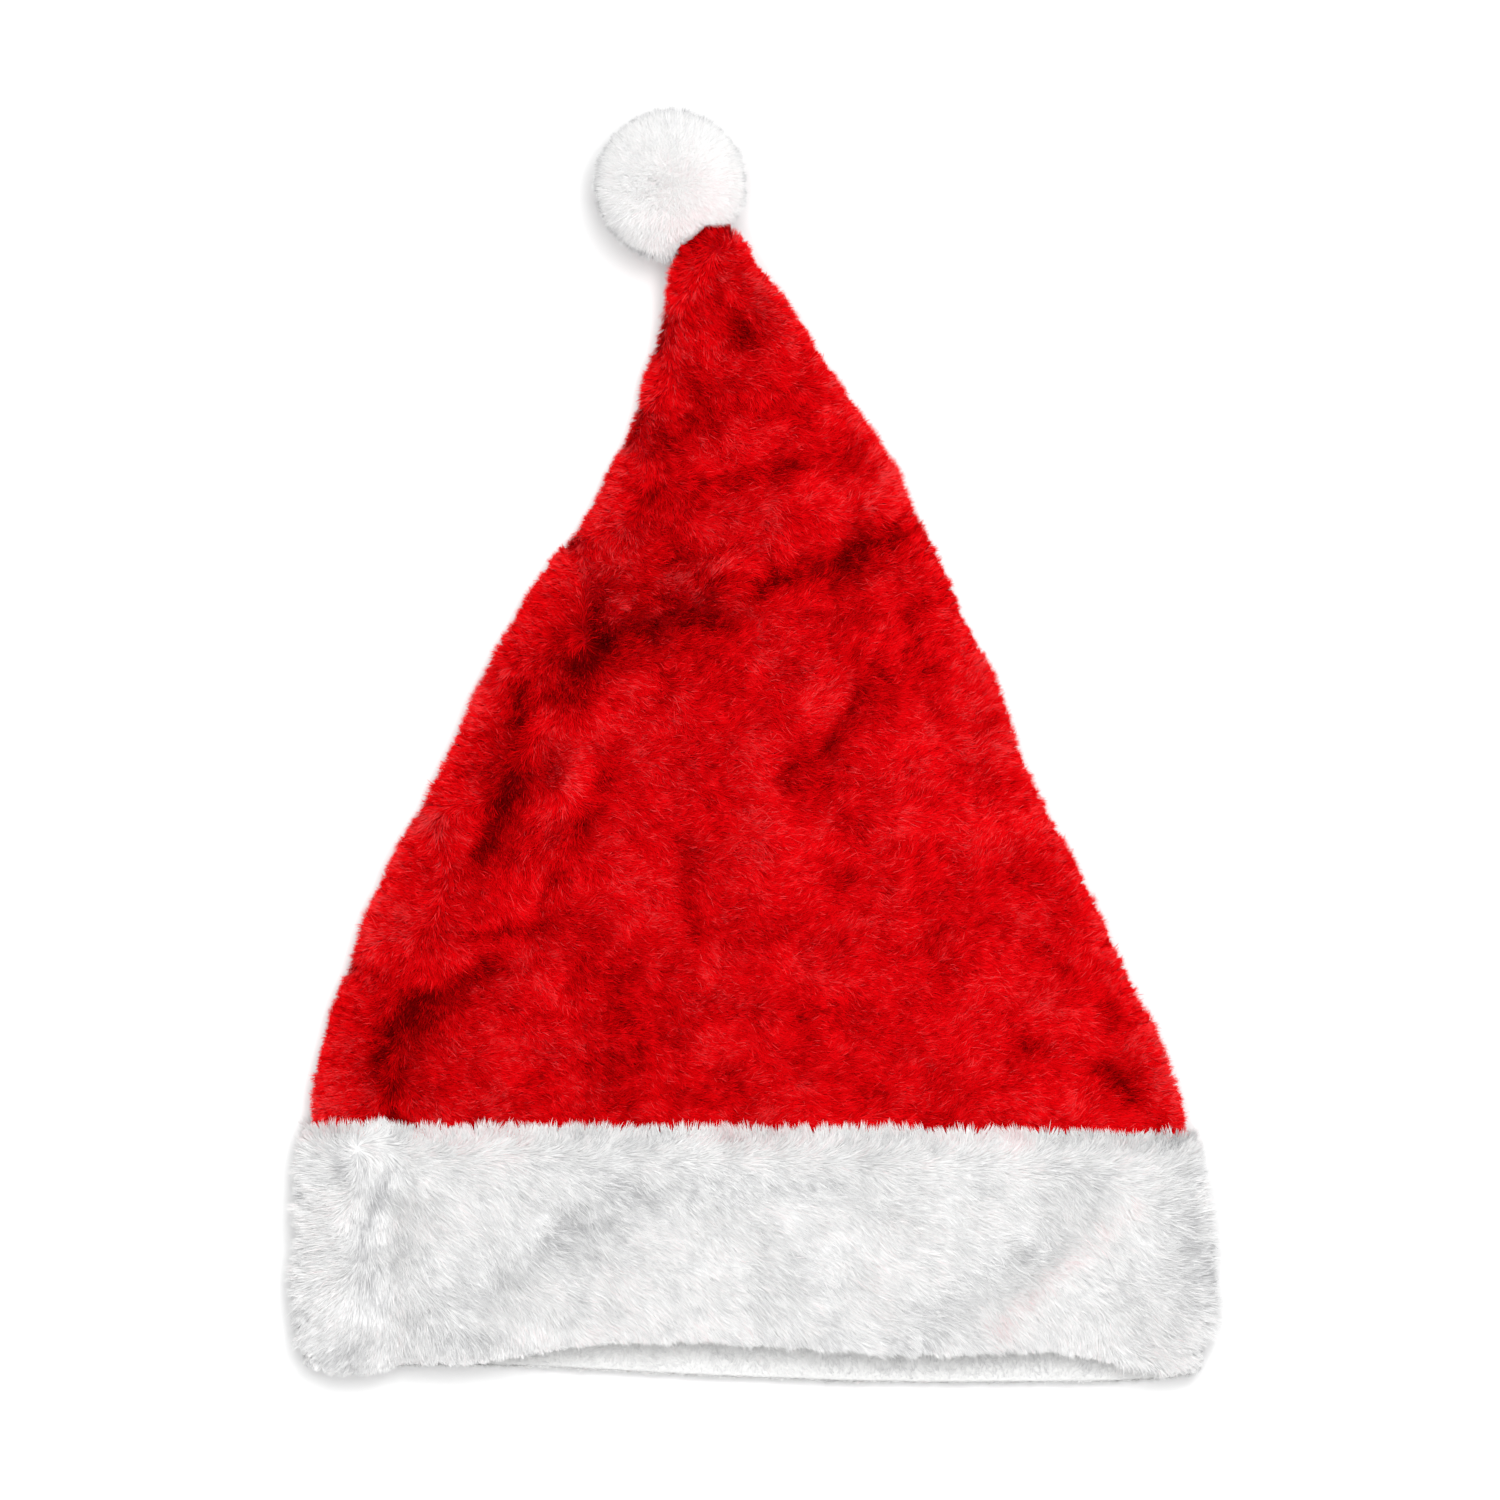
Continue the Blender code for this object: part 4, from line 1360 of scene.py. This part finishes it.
@dataclass
class Band:
    """The white fur band: a folded ring of fur cloth round the mouth, with its lining face.

    Attributes:
        makers: What grows piles.
        rim: How far the fur cloth stands out of the crown's cloth at its two edges.
        middle: How far it stands out in its middle.
        around: How many points a ring of the cloth has.
        face_rings: How many rings the fur side of the cloth has.
        lining_span: Where the lining face starts and ends, as shares of the way from hem to seam.
        lining_rings: How many rings it has.
        lip_bow: How far the lip bows out below the hem, as a share of that way.
        skin_grid: How many rings and points a ring the fur grows on.
        fur_length: The length of the fur's hairs.
        shortest: The length of the shortest hairs, at the hem.
        valley: The line down the band where the fur lies smooth and straight.
        valley_width: How wide that place is.
        brushed: How far below the seam the fur is brushed up over it.
        brushed_less: How much nearer the seam that is in the valley.
        turns_left_under: The comb's way, in degrees, below which the fur is brushed up by the left.
        edge_width: How far in from the outline the fur stands out sideways.
        fringe_width: How far above the hem the fur hangs in tufts.
        sway, heave, growth, cloud, grain: How way, rise, length and tone change from place to place.
        brush: How much the way of the brushed fur changes, in degrees.
        ragged: How uneven the tips of the fringe are.
        rises: The least and the most rise, in degrees.
        brushed_rise: How much more the brushed fur stands up, in degrees.
        brushed_short: How much shorter it is, as a share.
        tone: How light the fur is.
        edge_painted_shade: How much darker it is at the outline, a painted shade.
        fringe_light: How much lighter it is at the hem.
        pink_width: How far below the seam the fur is tinted pink, a painted reflection of the red crown.
        pink_share: How much of the seam is tinted.
        blush: How the tint changes along the seam.
        pink: The strength of that painted reflection, on the scale of tones.
        pinkest: The tone at which it stops.
        steepest: The least share of a hair's run that counts as hanging down.
        brushed_tufts, edge_tufts, fringe_tufts: How strongly the fur parts into tufts in those places.
        valley_order, tuft_order: How much less hairs stray sideways there, as shares.
        lining_depth: How far into the mouth the lining's fur grows, as a share of the way to the seam.
        lining_grid: How many rings and points a ring it grows on.
        lining_length, lining_rise, lining_stray, lining_tone: What its hairs are like.
        lining_sway, lining_cloud: How their way and tone change from place to place.
        front, strands, back, lining: The kinds of fur.
    """

    makers: PileMaker
    rim: float = 0.7
    middle: float = 1.0
    around: int = 150
    face_rings: int = 26
    lining_span: Tuple[float, float] = (0.06, 0.86)
    lining_rings: int = 14
    lip_bow: float = 0.012
    skin_grid: Tuple[int, int] = (44, 190)
    fur_length: float = 8.5
    shortest: float = 2.0
    valley: Shade = Shade(-119.0, -126.0, -122.5, -188.0, 0.0, 0.0)
    valley_width: float = 5.5
    brushed: float = 8.0
    brushed_less: float = 4.0
    turns_left_under: float = -20.0
    edge_width: float = 7.0
    fringe_width: float = 9.0
    sway: Swell = Swell(14.0, 21, 9.0)
    heave: Swell = Swell(5.0, 22, 8.0)
    growth: Swell = Swell(0.12, 23, 9.0)
    cloud: Swell = Swell(0.05, 24, 12.0)
    brush: Swell = Swell(30.0, 25, 5.0)
    ragged: Swell = Swell(0.9, 29, 3.2)
    grain: Swell = Swell(0.05, 30, 3.0)
    rises: Tuple[float, float] = (8.0, 70.0)
    brushed_rise: float = 18.0
    brushed_short: float = 0.35
    tone: float = 0.47
    edge_painted_shade: float = 0.08
    fringe_light: float = 0.05
    pink_width: float = 7.0
    pink_share: float = 0.5
    blush: Swell = Swell(0.8, 26, 16.0)
    pink: float = 0.34
    pinkest: float = 0.8
    steepest: float = 0.25
    brushed_tufts: float = 0.6
    edge_tufts: float = 0.9
    fringe_tufts: float = 0.6
    valley_order: float = 0.6
    tuft_order: float = 0.6
    lining_depth: float = 0.4
    lining_grid: Tuple[int, int] = (16, 220)
    lining_length: float = 3.0
    lining_rise: float = 22.0
    lining_stray: float = 2.0
    lining_tone: float = 0.5
    lining_sway: Swell = Swell(50.0, 27, 8.0)
    lining_cloud: Swell = Swell(0.06, 28, 9.0)
    front: Pile = Pile(
        hairs=185000, segments=1, width=0.40, yaw=15.0, roll=18.0, clump_size=1.5, clump_pull=0.55,
        clump_tone=0.28, tuft_size=2.4, tuft_pull=0.85, wave_size=3.6, wave=0.12, tone_spread=0.2,
    )
    strands: Pile = Pile(
        hairs=16000, segments=2, width=0.30, yaw=22.0, roll=18.0, clump_size=2.8, clump_pull=0.4,
        tuft_size=2.4, tuft_pull=0.85, wave_size=3.2, wave=0.24, tone_spread=0.28,
    )
    back: Pile = Pile(
        hairs=34000, segments=1, width=0.9, yaw=14.0, clump_size=3.6, clump_pull=0.3, wave_size=5.0,
        wave=0.14, tone_spread=0.10,
    )
    lining: Pile = Pile(
        hairs=20000, segments=1, width=0.6, clump_pull=0.3, clump_size=2.5, wave=0.15, tone_spread=0.1,
    )

    def proud(self, along: np.ndarray) -> np.ndarray:
        """How far the fur cloth stands out of the crown's cloth."""
        swell = np.sin(math.pi * np.clip(along, 0.0, 1.0)) ** 0.5
        return self.rim + (self.middle - self.rim) * swell

    def face(self, along: Any, angles: np.ndarray, offset: Any) -> np.ndarray:
        """Points of the ring for each station along and each angle, offset from the crown's cloth."""
        return SHAPE.band_point(*np.broadcast_arrays(along, angles, offset))

    def lips(self, turns: Sequence[float], angles: np.ndarray) -> List[np.ndarray]:
        """Rings round the hem's rounded lip.

        Args:
            turns: Where round the lip each ring is, from the fur side at 0 to the lining at 1.
            angles: The rings' angles.

        Returns:
            The rings' points.
        """
        half = (self.rim + CROWN_WALL) / 2
        return [
            self.face(-self.lip_bow * math.sin(math.pi * turn), angles,
                      self.rim - half * (1 - math.cos(math.pi * turn)))
            for turn in turns
        ]

    def backing(self) -> bpy.types.Object:
        """The fur cloth's ring: fur side, lip, lining face and the rebate that holds the crown's hem.

        Returns:
            The cloth's object.
        """
        angles = np.linspace(0.0, 2 * math.pi, self.around, endpoint=False)[None, :]
        along = np.linspace(1.0, 0.0, self.face_rings)[:, None]
        inside = np.linspace(*self.lining_span, self.lining_rings)[:, None]
        rings = [
            self.face(along, angles, self.proud(along)),
            *self.lips((0.25, 0.5, 0.75, 1.0), angles),
            self.face(inside, angles, -CROWN_WALL),
        ]
        step = CROWN_HEM_Y - SEAM_GAP
        for station, offset in ((step, -CROWN_WALL), (step, SEAM_GAP), (BAND_TOP_Y, SEAM_GAP)):
            x = SHAPE.point(station, angles, offset)[..., 0]
            rings.append(SHAPE.point(station + SEAM_SLOPE * x, angles, offset))
        points = np.concatenate(rings)
        count = len(points) * self.around
        faces = [tuple(v % count for v in face)
                 for face in grid_faces(len(points) + 1, self.around, closed=True, flip=True)]
        cloth = mesh_of("band_cloth", points, faces)
        cloth.data.materials.append(WHITE_BACKING.cloth_material(weave=1.0, bump=0.3))
        return cloth

    def skin(self, side: Side) -> Skin:
        """The fur side and the lip, over the front or the back."""
        rings, columns = self.skin_grid
        angles = side.angles(columns)
        along = np.linspace(0.0, 1.0, rings)[:, None]
        fur = self.face(along, angles, self.proud(along))
        made = Skin(np.concatenate([*self.lips((0.75, 0.5, 0.25), angles), fur]))
        made.angles = np.broadcast_to(angles, made.points.shape[:2])
        return made

    def fields(self, skin: Skin, longer: float, overhang: float) -> Dict[str, np.ndarray]:
        """How the fur is combed, how long it is and how light it is, over the band.

        Args:
            skin: Where the fur grows.
            longer: How much longer it is than plain fur, as a factor.
            overhang: How far the tips of its fringe hang over the hem.

        Returns:
            The fields that PileMaker.grow wants.
        """
        x, y = skin.points[..., 0], skin.points[..., 1]
        toward, rise = comb_over(BAND_COMBS, x, y)
        toward = toward + self.sway.at(x, y)
        seam = BAND_TOP_Y + SEAM_SLOPE * x
        valley = bell(away_from(self.valley, x, y), self.valley_width)
        near = bell(seam - y, self.brushed - self.brushed_less * valley)
        up = np.where(toward < self.turns_left_under, -180.0, 180.0) + self.brush.at(x, y)
        toward = toward + (up - toward) * near
        edge = bell(SHAPE.inside(x, y), self.edge_width)
        fringe = bell(y - SHAPE.hem_y(x, skin.angles), self.fringe_width)
        length = longer * self.fur_length * (1.0 + self.growth.at(x, y)) * (1.0 - self.brushed_short * near)
        tone = self.tone + self.cloud.at(x, y) + self.grain.at(x, y)
        # Painted shade and highlights from the table, and painted shade at the outline
        tone = tone + painted_shading_over(BAND_PAINTED_SHADING, x, y) - self.edge_painted_shade * edge + self.fringe_light * fringe
        # Painted pink reflection of the red crown below the seam
        pink = bell(seam - y, self.pink_width) * np.clip(self.pink_share + self.blush.at(x, y), 0.0, 1.0)
        tuft = self.brushed_tufts * near + self.edge_tufts * edge + self.fringe_tufts * fringe
        tuft = np.clip(tuft, 0.0, 1.0) * (1.0 - valley)
        return {
            "nap": skin.nap(toward),
            "length": self.trimmed(skin, toward, length, overhang),
            "rise": np.clip(rise + self.heave.at(x, y) + self.brushed_rise * near, *self.rises),
            "tone": np.minimum(tone + self.pink * pink, self.pinkest),
            "density": np.ones_like(x),
            "stray": (1.0 - self.valley_order * valley) * (1.0 - self.tuft_order * tuft),
            "tuft": tuft,
        }

    def trimmed(self, skin: Skin, toward: np.ndarray, length: np.ndarray, overhang: float) -> np.ndarray:
        """Cuts hairs so that their tips hang over the hem no further than they should.

        Args:
            skin: Where the fur grows.
            toward: The way that tips point, in degrees.
            length: The hairs' lengths.
            overhang: How far the tips may hang over the hem.

        Returns:
            The hairs' lengths, cut where a tip would reach too far.
        """
        x, y = skin.points[..., 0], skin.points[..., 1]
        run, drop = np.sin(np.radians(toward)), np.clip(np.cos(np.radians(toward)), self.steepest, 1.0)
        for _ in range(3):
            hem = SHAPE.hem_y(x + length * run, skin.angles) - overhang - self.ragged.at(x, y)
            length = np.clip(np.minimum(length, (y - hem) / drop), self.shortest, None)
        return length

    def inside(self, finish: bpy.types.Material) -> bpy.types.Object:
        """The short pile of the lining face behind the mouth."""
        rings, columns = self.lining_grid
        angles = np.linspace(0.0, 2 * math.pi, columns)[None, :]
        along = np.linspace(0.0, self.lining_depth, rings)[:, None]
        skin = Skin(self.face(along, angles, -CROWN_WALL), right_is=1.0)
        x, y = skin.points[..., 0], skin.points[..., 1]
        fields = {
            "nap": skin.nap(180.0 + self.lining_sway.at(x, y)),
            "length": np.full_like(x, self.lining_length),
            "rise": np.full_like(x, self.lining_rise),
            "tone": self.lining_tone + self.lining_cloud.at(x, y),
            "density": np.ones_like(x),
            "stray": np.full_like(x, self.lining_stray),
            "tuft": np.zeros_like(x),
        }
        return self.makers.grow("band_lining_pile", skin, self.lining, fields, finish, 33)

    def build(self) -> None:
        cloth = self.backing()
        finish = WHITE_PILE.hair_material()
        piles = [self.inside(finish)]
        # Columns: name, side, pile, seed, longer, overhang
        parts = (
            ("band_fur_front", Side.FRONT, self.front, 31, 1.0, 0.3),
            ("band_strands", Side.FRONT, self.strands, 34, 1.0, 0.3),
            ("band_fur_back", Side.BACK, self.back, 32, 0.6, -0.9),
        )
        for name, side, pile, seed, longer, overhang in parts:
            skin = self.skin(side)
            fields = self.fields(skin, longer, overhang)
            piles.append(self.makers.grow(name, skin, pile, fields, finish, seed))
        for piece in (cloth, *piles):
            ride_as(piece, "band")
        LOG.info("band: cloth and %d piles", len(piles))


@dataclass
class Pompom:
    """The fur ball on the tip: a core and the hairs that stand out of it all round.

    Attributes:
        makers: What grows piles.
        centre: The ball's middle.
        core: The core's radius.
        inset: How much smaller than that the core's cloth is.
        core_grid: How many rings and points a ring the core's cloth has.
        skin_grid: The same for the grid that the fur grows on.
        stand: How far the tips stand above the core.
        growth: How much the hairs' length changes, as a share.
        shortest: The length of the shortest hairs, beside the crown's tip.
        top_rise: How far the hairs stand up from the core on top, in degrees.
        side_rise: The same at the ball's sides.
        side_above: How far above the ball's middle its sides start to tell.
        side_depth: How far below that they tell in full.
        whorl: The point that the hairs are combed away from.
        calm: How wide that whorl is.
        own_ways: How the hairs' own ways change from place to place, along x, y and z.
        dip: The way from the ball's middle to the crown's tip, where the core is dented.
        dip_depth: How deep that dent is.
        dip_reach: How wide it is, in radians.
        overlap: How far the fringe reaches over the crown's tip.
        parting: How far from the crown's tip the fur is parted on its left.
        tone: How light the fur is.
        cloud: How its tone changes from place to place.
        tint: The strength of the pink tint beside the crown's tip, a painted reflection of its red, on the
            scale of tones.
        tint_at: Where it is strongest, on the plan.
        tint_width: How wide it is.
        tint_below: How far below the ball's middle it reaches.
        side_painted_shade: How much darker the fur is at the ball's sides, a painted shade.
        whorl_stray: How much more hairs stray sideways in the whorl, as a share.
        side_order: How much less they stray at the ball's sides, as a share.
        side_tufts: How strongly the fur parts into tufts there.
        fur: The kind of fur.
    """

    makers: PileMaker
    centre: Tuple[float, float, float] = (-26.4, 179.2, 23.4)
    core: float = 20.8
    inset: float = 0.4
    core_grid: Tuple[int, int] = (24, 40)
    skin_grid: Tuple[int, int] = (60, 120)
    stand: float = 4.4
    growth: Swell = Swell(0.08, 42, 6.0)
    shortest: float = 1.5
    top_rise: float = 30.0
    side_rise: float = 56.0
    side_above: float = 13.0
    side_depth: float = 12.0
    whorl: Tuple[float, float, float] = (-29.0, 181.0, 44.0)
    calm: float = 10.0
    own_ways: Tuple[Swell, ...] = (Swell(0.3, 44, 6.0), Swell(0.3, 45, 6.0), Swell(0.3, 46, 6.0))
    dip: Tuple[float, float, float] = (0.66, -0.74, 0.12)
    dip_depth: float = 2.5
    dip_reach: float = 0.35
    overlap: float = 0.6
    parting: float = 1.6
    tone: float = 0.49
    cloud: Swell = Swell(0.05, 43, 8.0)
    tint: float = 0.26
    tint_at: Tuple[float, float] = (-20.0, 170.0)
    tint_width: float = 14.0
    tint_below: float = 4.0
    side_painted_shade: float = 0.42
    whorl_stray: float = 5.0
    side_order: float = 0.6
    side_tufts: float = 0.9
    fur: Pile = Pile(
        hairs=130000, segments=1, width=0.40, yaw=26.0, roll=16.0, clump_size=1.4, clump_pull=0.6,
        clump_spread=0.25, clump_tone=0.22, tuft_size=2.2, tuft_pull=0.95, tuft_spread=0.6,
        wave_size=3.6, wave=0.12, length_spread=0.3, tone_spread=0.18,
    )
    FAR_OFF = 10.0
    UNDER_TIP = 3.0
    POLE_GAP = 0.01
    PROBE = 2.0
    SLOWEST = 0.05

    def ball(self, radius: float, rows: int, columns: int) -> np.ndarray:
        """Points of a ball, dented at the crown's tip, in rings from its lower pole up."""
        pole = math.pi / 2 - self.POLE_GAP
        climb = np.linspace(-pole, pole, rows)[:, None]
        turn = np.linspace(0.0, 2 * math.pi, columns)[None, :]
        unit_ball = np.stack(np.broadcast_arrays(
            np.cos(climb) * np.cos(turn), np.cos(climb) * np.sin(turn), np.sin(climb),
        ), axis=-1)
        apart = np.arccos(np.clip(unit_ball @ unit(np.array(self.dip)), -1.0, 1.0))
        radius = radius - self.dip_depth * bell(apart, self.dip_reach)
        return np.array(self.centre) + radius[..., None] * unit_ball

    def off_tip(self, points: np.ndarray) -> np.ndarray:
        """How far points are from the crown's tip, seen from above: under 0 inside its outline."""
        x, y, z = (points[..., i] for i in range(3))
        left, right, _, lift = SHAPE.section_at(np.minimum(y, CROWN_TIP_Y))
        outside = np.maximum(np.maximum(left - self.parting - x, x - right), y - CROWN_TIP_Y)
        return np.where(z > lift - self.UNDER_TIP, outside, self.FAR_OFF)

    def skin(self) -> Tuple[Skin, Dict[str, np.ndarray]]:
        """Where the fur grows, and how it is combed, how long it is and how light it is.

        Returns:
            The skin and the fields that PileMaker.grow wants.
        """
        skin = Skin(self.ball(self.core, *self.skin_grid), right_is=1.0)
        x, y, z = (skin.points[..., i] for i in range(3))
        out = unit(skin.points - np.array(self.centre))
        from_whorl = skin.points - np.array(self.whorl)
        way = from_whorl / self.calm + np.stack([swell.at(x, y + z) for swell in self.own_ways], axis=-1)
        way = unit(way - out * (way * out).sum(axis=-1, keepdims=True))
        low = np.clip((self.centre[2] + self.side_above - z) / self.side_depth, 0.0, 1.0)
        whorl = bell(np.linalg.norm(from_whorl, axis=-1), self.calm)
        rise = self.top_rise + (self.side_rise - self.top_rise) * low
        turned = np.radians(rise)
        length = self.stand / np.sin(turned) * (1.0 + self.growth.at(x, y + z))
        lean = way * np.cos(turned)[..., None] + out * np.sin(turned)[..., None]
        here = self.off_tip(skin.points)
        nearing = (here - self.off_tip(skin.points + self.PROBE * lean)) / self.PROBE
        room = np.maximum((here + self.overlap) / np.maximum(nearing, self.SLOWEST), self.shortest)
        length = np.where(here < self.FAR_OFF - 1.0, np.minimum(length, room), length)
        # Painted pink reflection of the crown's red beside its tip
        tint = bell(np.hypot(x - self.tint_at[0], y - self.tint_at[1]), self.tint_width)
        tint = tint * (z > self.centre[2] - self.tint_below)
        return skin, {
            "nap": way,
            "length": length,
            "rise": rise,
            # Painted pink reflection beside the tip and painted shade at the ball's sides
            "tone": self.tone + self.cloud.at(x, y + z) + self.tint * tint - self.side_painted_shade * low,
            "density": (here > 0.0) * (1.0 + whorl),
            "stray": (1.0 + self.whorl_stray * whorl) * (1.0 - self.side_order * low),
            "tuft": self.side_tufts * low,
        }

    def heart(self) -> bpy.types.Object:
        """The stuffed core.

        Returns:
            The core's object.
        """
        rows, columns = self.core_grid
        points = self.ball(self.core - self.inset, rows, columns + 1)[:, :-1]
        core = mesh_of("pompom_core", points, tube_faces(rows, columns))
        core.data.materials.append(WHITE_BACKING.cloth_material(weave=0.8, bump=0.3))
        return core

    def build(self) -> None:
        core = self.heart()
        skin, fields = self.skin()
        fur = self.makers.grow("pompom_fur_pile", skin, self.fur, fields, WHITE_PILE.hair_material(), 41)
        for piece in (core, fur):
            ride_as(piece, "pompom")
        LOG.info("pompom: core and fur")


class Lamp(NamedTuple):
    """A square lamp that shines at the hat: its place and side are in metres, and its power in watts."""

    name: str
    place: Tuple[float, float, float]
    size: float
    power: float


@dataclass
class Studio:
    """The plain pale floor, the soft light and the camera straight above.

    Attributes:
        width: The width of the floor that the photograph shows, at the floor.
        aim: The point of the floor in the photograph's middle.
        height: The camera's height.
        sensor: The width of its sensor, in millimetres.
        floor_half: Half the floor's width, in millimetres.
        floor_z: The floor's height, a little under what lies on it.
        floor_tone: How light the floor is.
        glow: How much the floor shines by itself, like a lit table, so that shadows on it stay faint.
        sky: The strength of the white sky.
        lamps: A soft lamp above the top of the picture and a little to the right, and a wide one overhead.
    """

    width: float = 0.480
    aim: Tuple[float, float] = (-0.0011, -0.0005)
    height: float = 4.0
    sensor: float = 36.0
    floor_half: float = 3000.0
    floor_z: float = -0.05
    floor_tone: float = 0.92
    glow: float = 0.04
    sky: float = 0.36
    lamps: Tuple[Lamp, ...] = (
        Lamp("key", (0.35, 0.65, 1.8), 0.8, 13.0),
        Lamp("overhead", (0.0, 0.1, 2.4), 1.4, 46.0),
    )

    def floor(self) -> None:
        """A wide pale floor."""
        corners = np.array([(x * self.floor_half, y * self.floor_half, self.floor_z)
                            for x, y in ((-1, -1), (1, -1), (1, 1), (-1, 1))])
        floor = mesh_of("floor", corners, [(0, 1, 2, 3)])
        material = bpy.data.materials.new("pale_floor")
        material.use_nodes = True
        shader = material.node_tree.nodes["Principled BSDF"]
        shader.inputs["Base Color"].default_value = (self.floor_tone, self.floor_tone, self.floor_tone, 1.0)
        shader.inputs["Roughness"].default_value = 0.9
        shader.inputs["Specular IOR Level"].default_value = 0.1
        shader.inputs["Emission Color"].default_value = (1.0, 1.0, 1.0, 1.0)
        shader.inputs["Emission Strength"].default_value = self.glow
        floor.data.materials.append(material)

    def light(self) -> None:
        """A white sky and the soft lamps, shown with plain colours."""
        world = bpy.data.worlds.new("studio")
        world.use_nodes = True
        world.node_tree.nodes["Background"].inputs["Color"].default_value = (1.0, 1.0, 1.0, 1.0)
        world.node_tree.nodes["Background"].inputs["Strength"].default_value = self.sky
        bpy.context.scene.world = world
        for lamp in self.lamps:
            data = bpy.data.lights.new(lamp.name, "AREA")
            data.energy = lamp.power
            data.size = lamp.size
            made = bpy.data.objects.new(lamp.name, data)
            made.location = lamp.place
            made.rotation_euler = (-Vector(lamp.place)).to_track_quat("-Z", "Y").to_euler()
            bpy.context.scene.collection.objects.link(made)
        bpy.context.scene.view_settings.view_transform = "Standard"
        bpy.context.scene.view_settings.look = "None"

    def camera(self) -> None:
        """The camera, straight above and looking down, with the hat's tip at the top."""
        data = bpy.data.cameras.new("camera")
        data.sensor_width = self.sensor
        data.lens = self.sensor * self.height / self.width
        made = bpy.data.objects.new("camera", data)
        made.location = (*self.aim, self.height)
        bpy.context.scene.collection.objects.link(made)
        bpy.context.scene.camera = made

    def build(self) -> None:
        """Sets up floor, light and camera."""
        self.floor()
        self.light()
        self.camera()


def main() -> None:
    """Builds the studio and the hat's three pieces, and reports each."""
    logging.basicConfig(level=logging.INFO, format="%(name)s: %(message)s")
    Studio().build()
    makers = PileMaker()
    for part in (Crown(makers), Band(makers), Pompom(makers)):
        part.build()


if __name__ == "__main__":
    main()
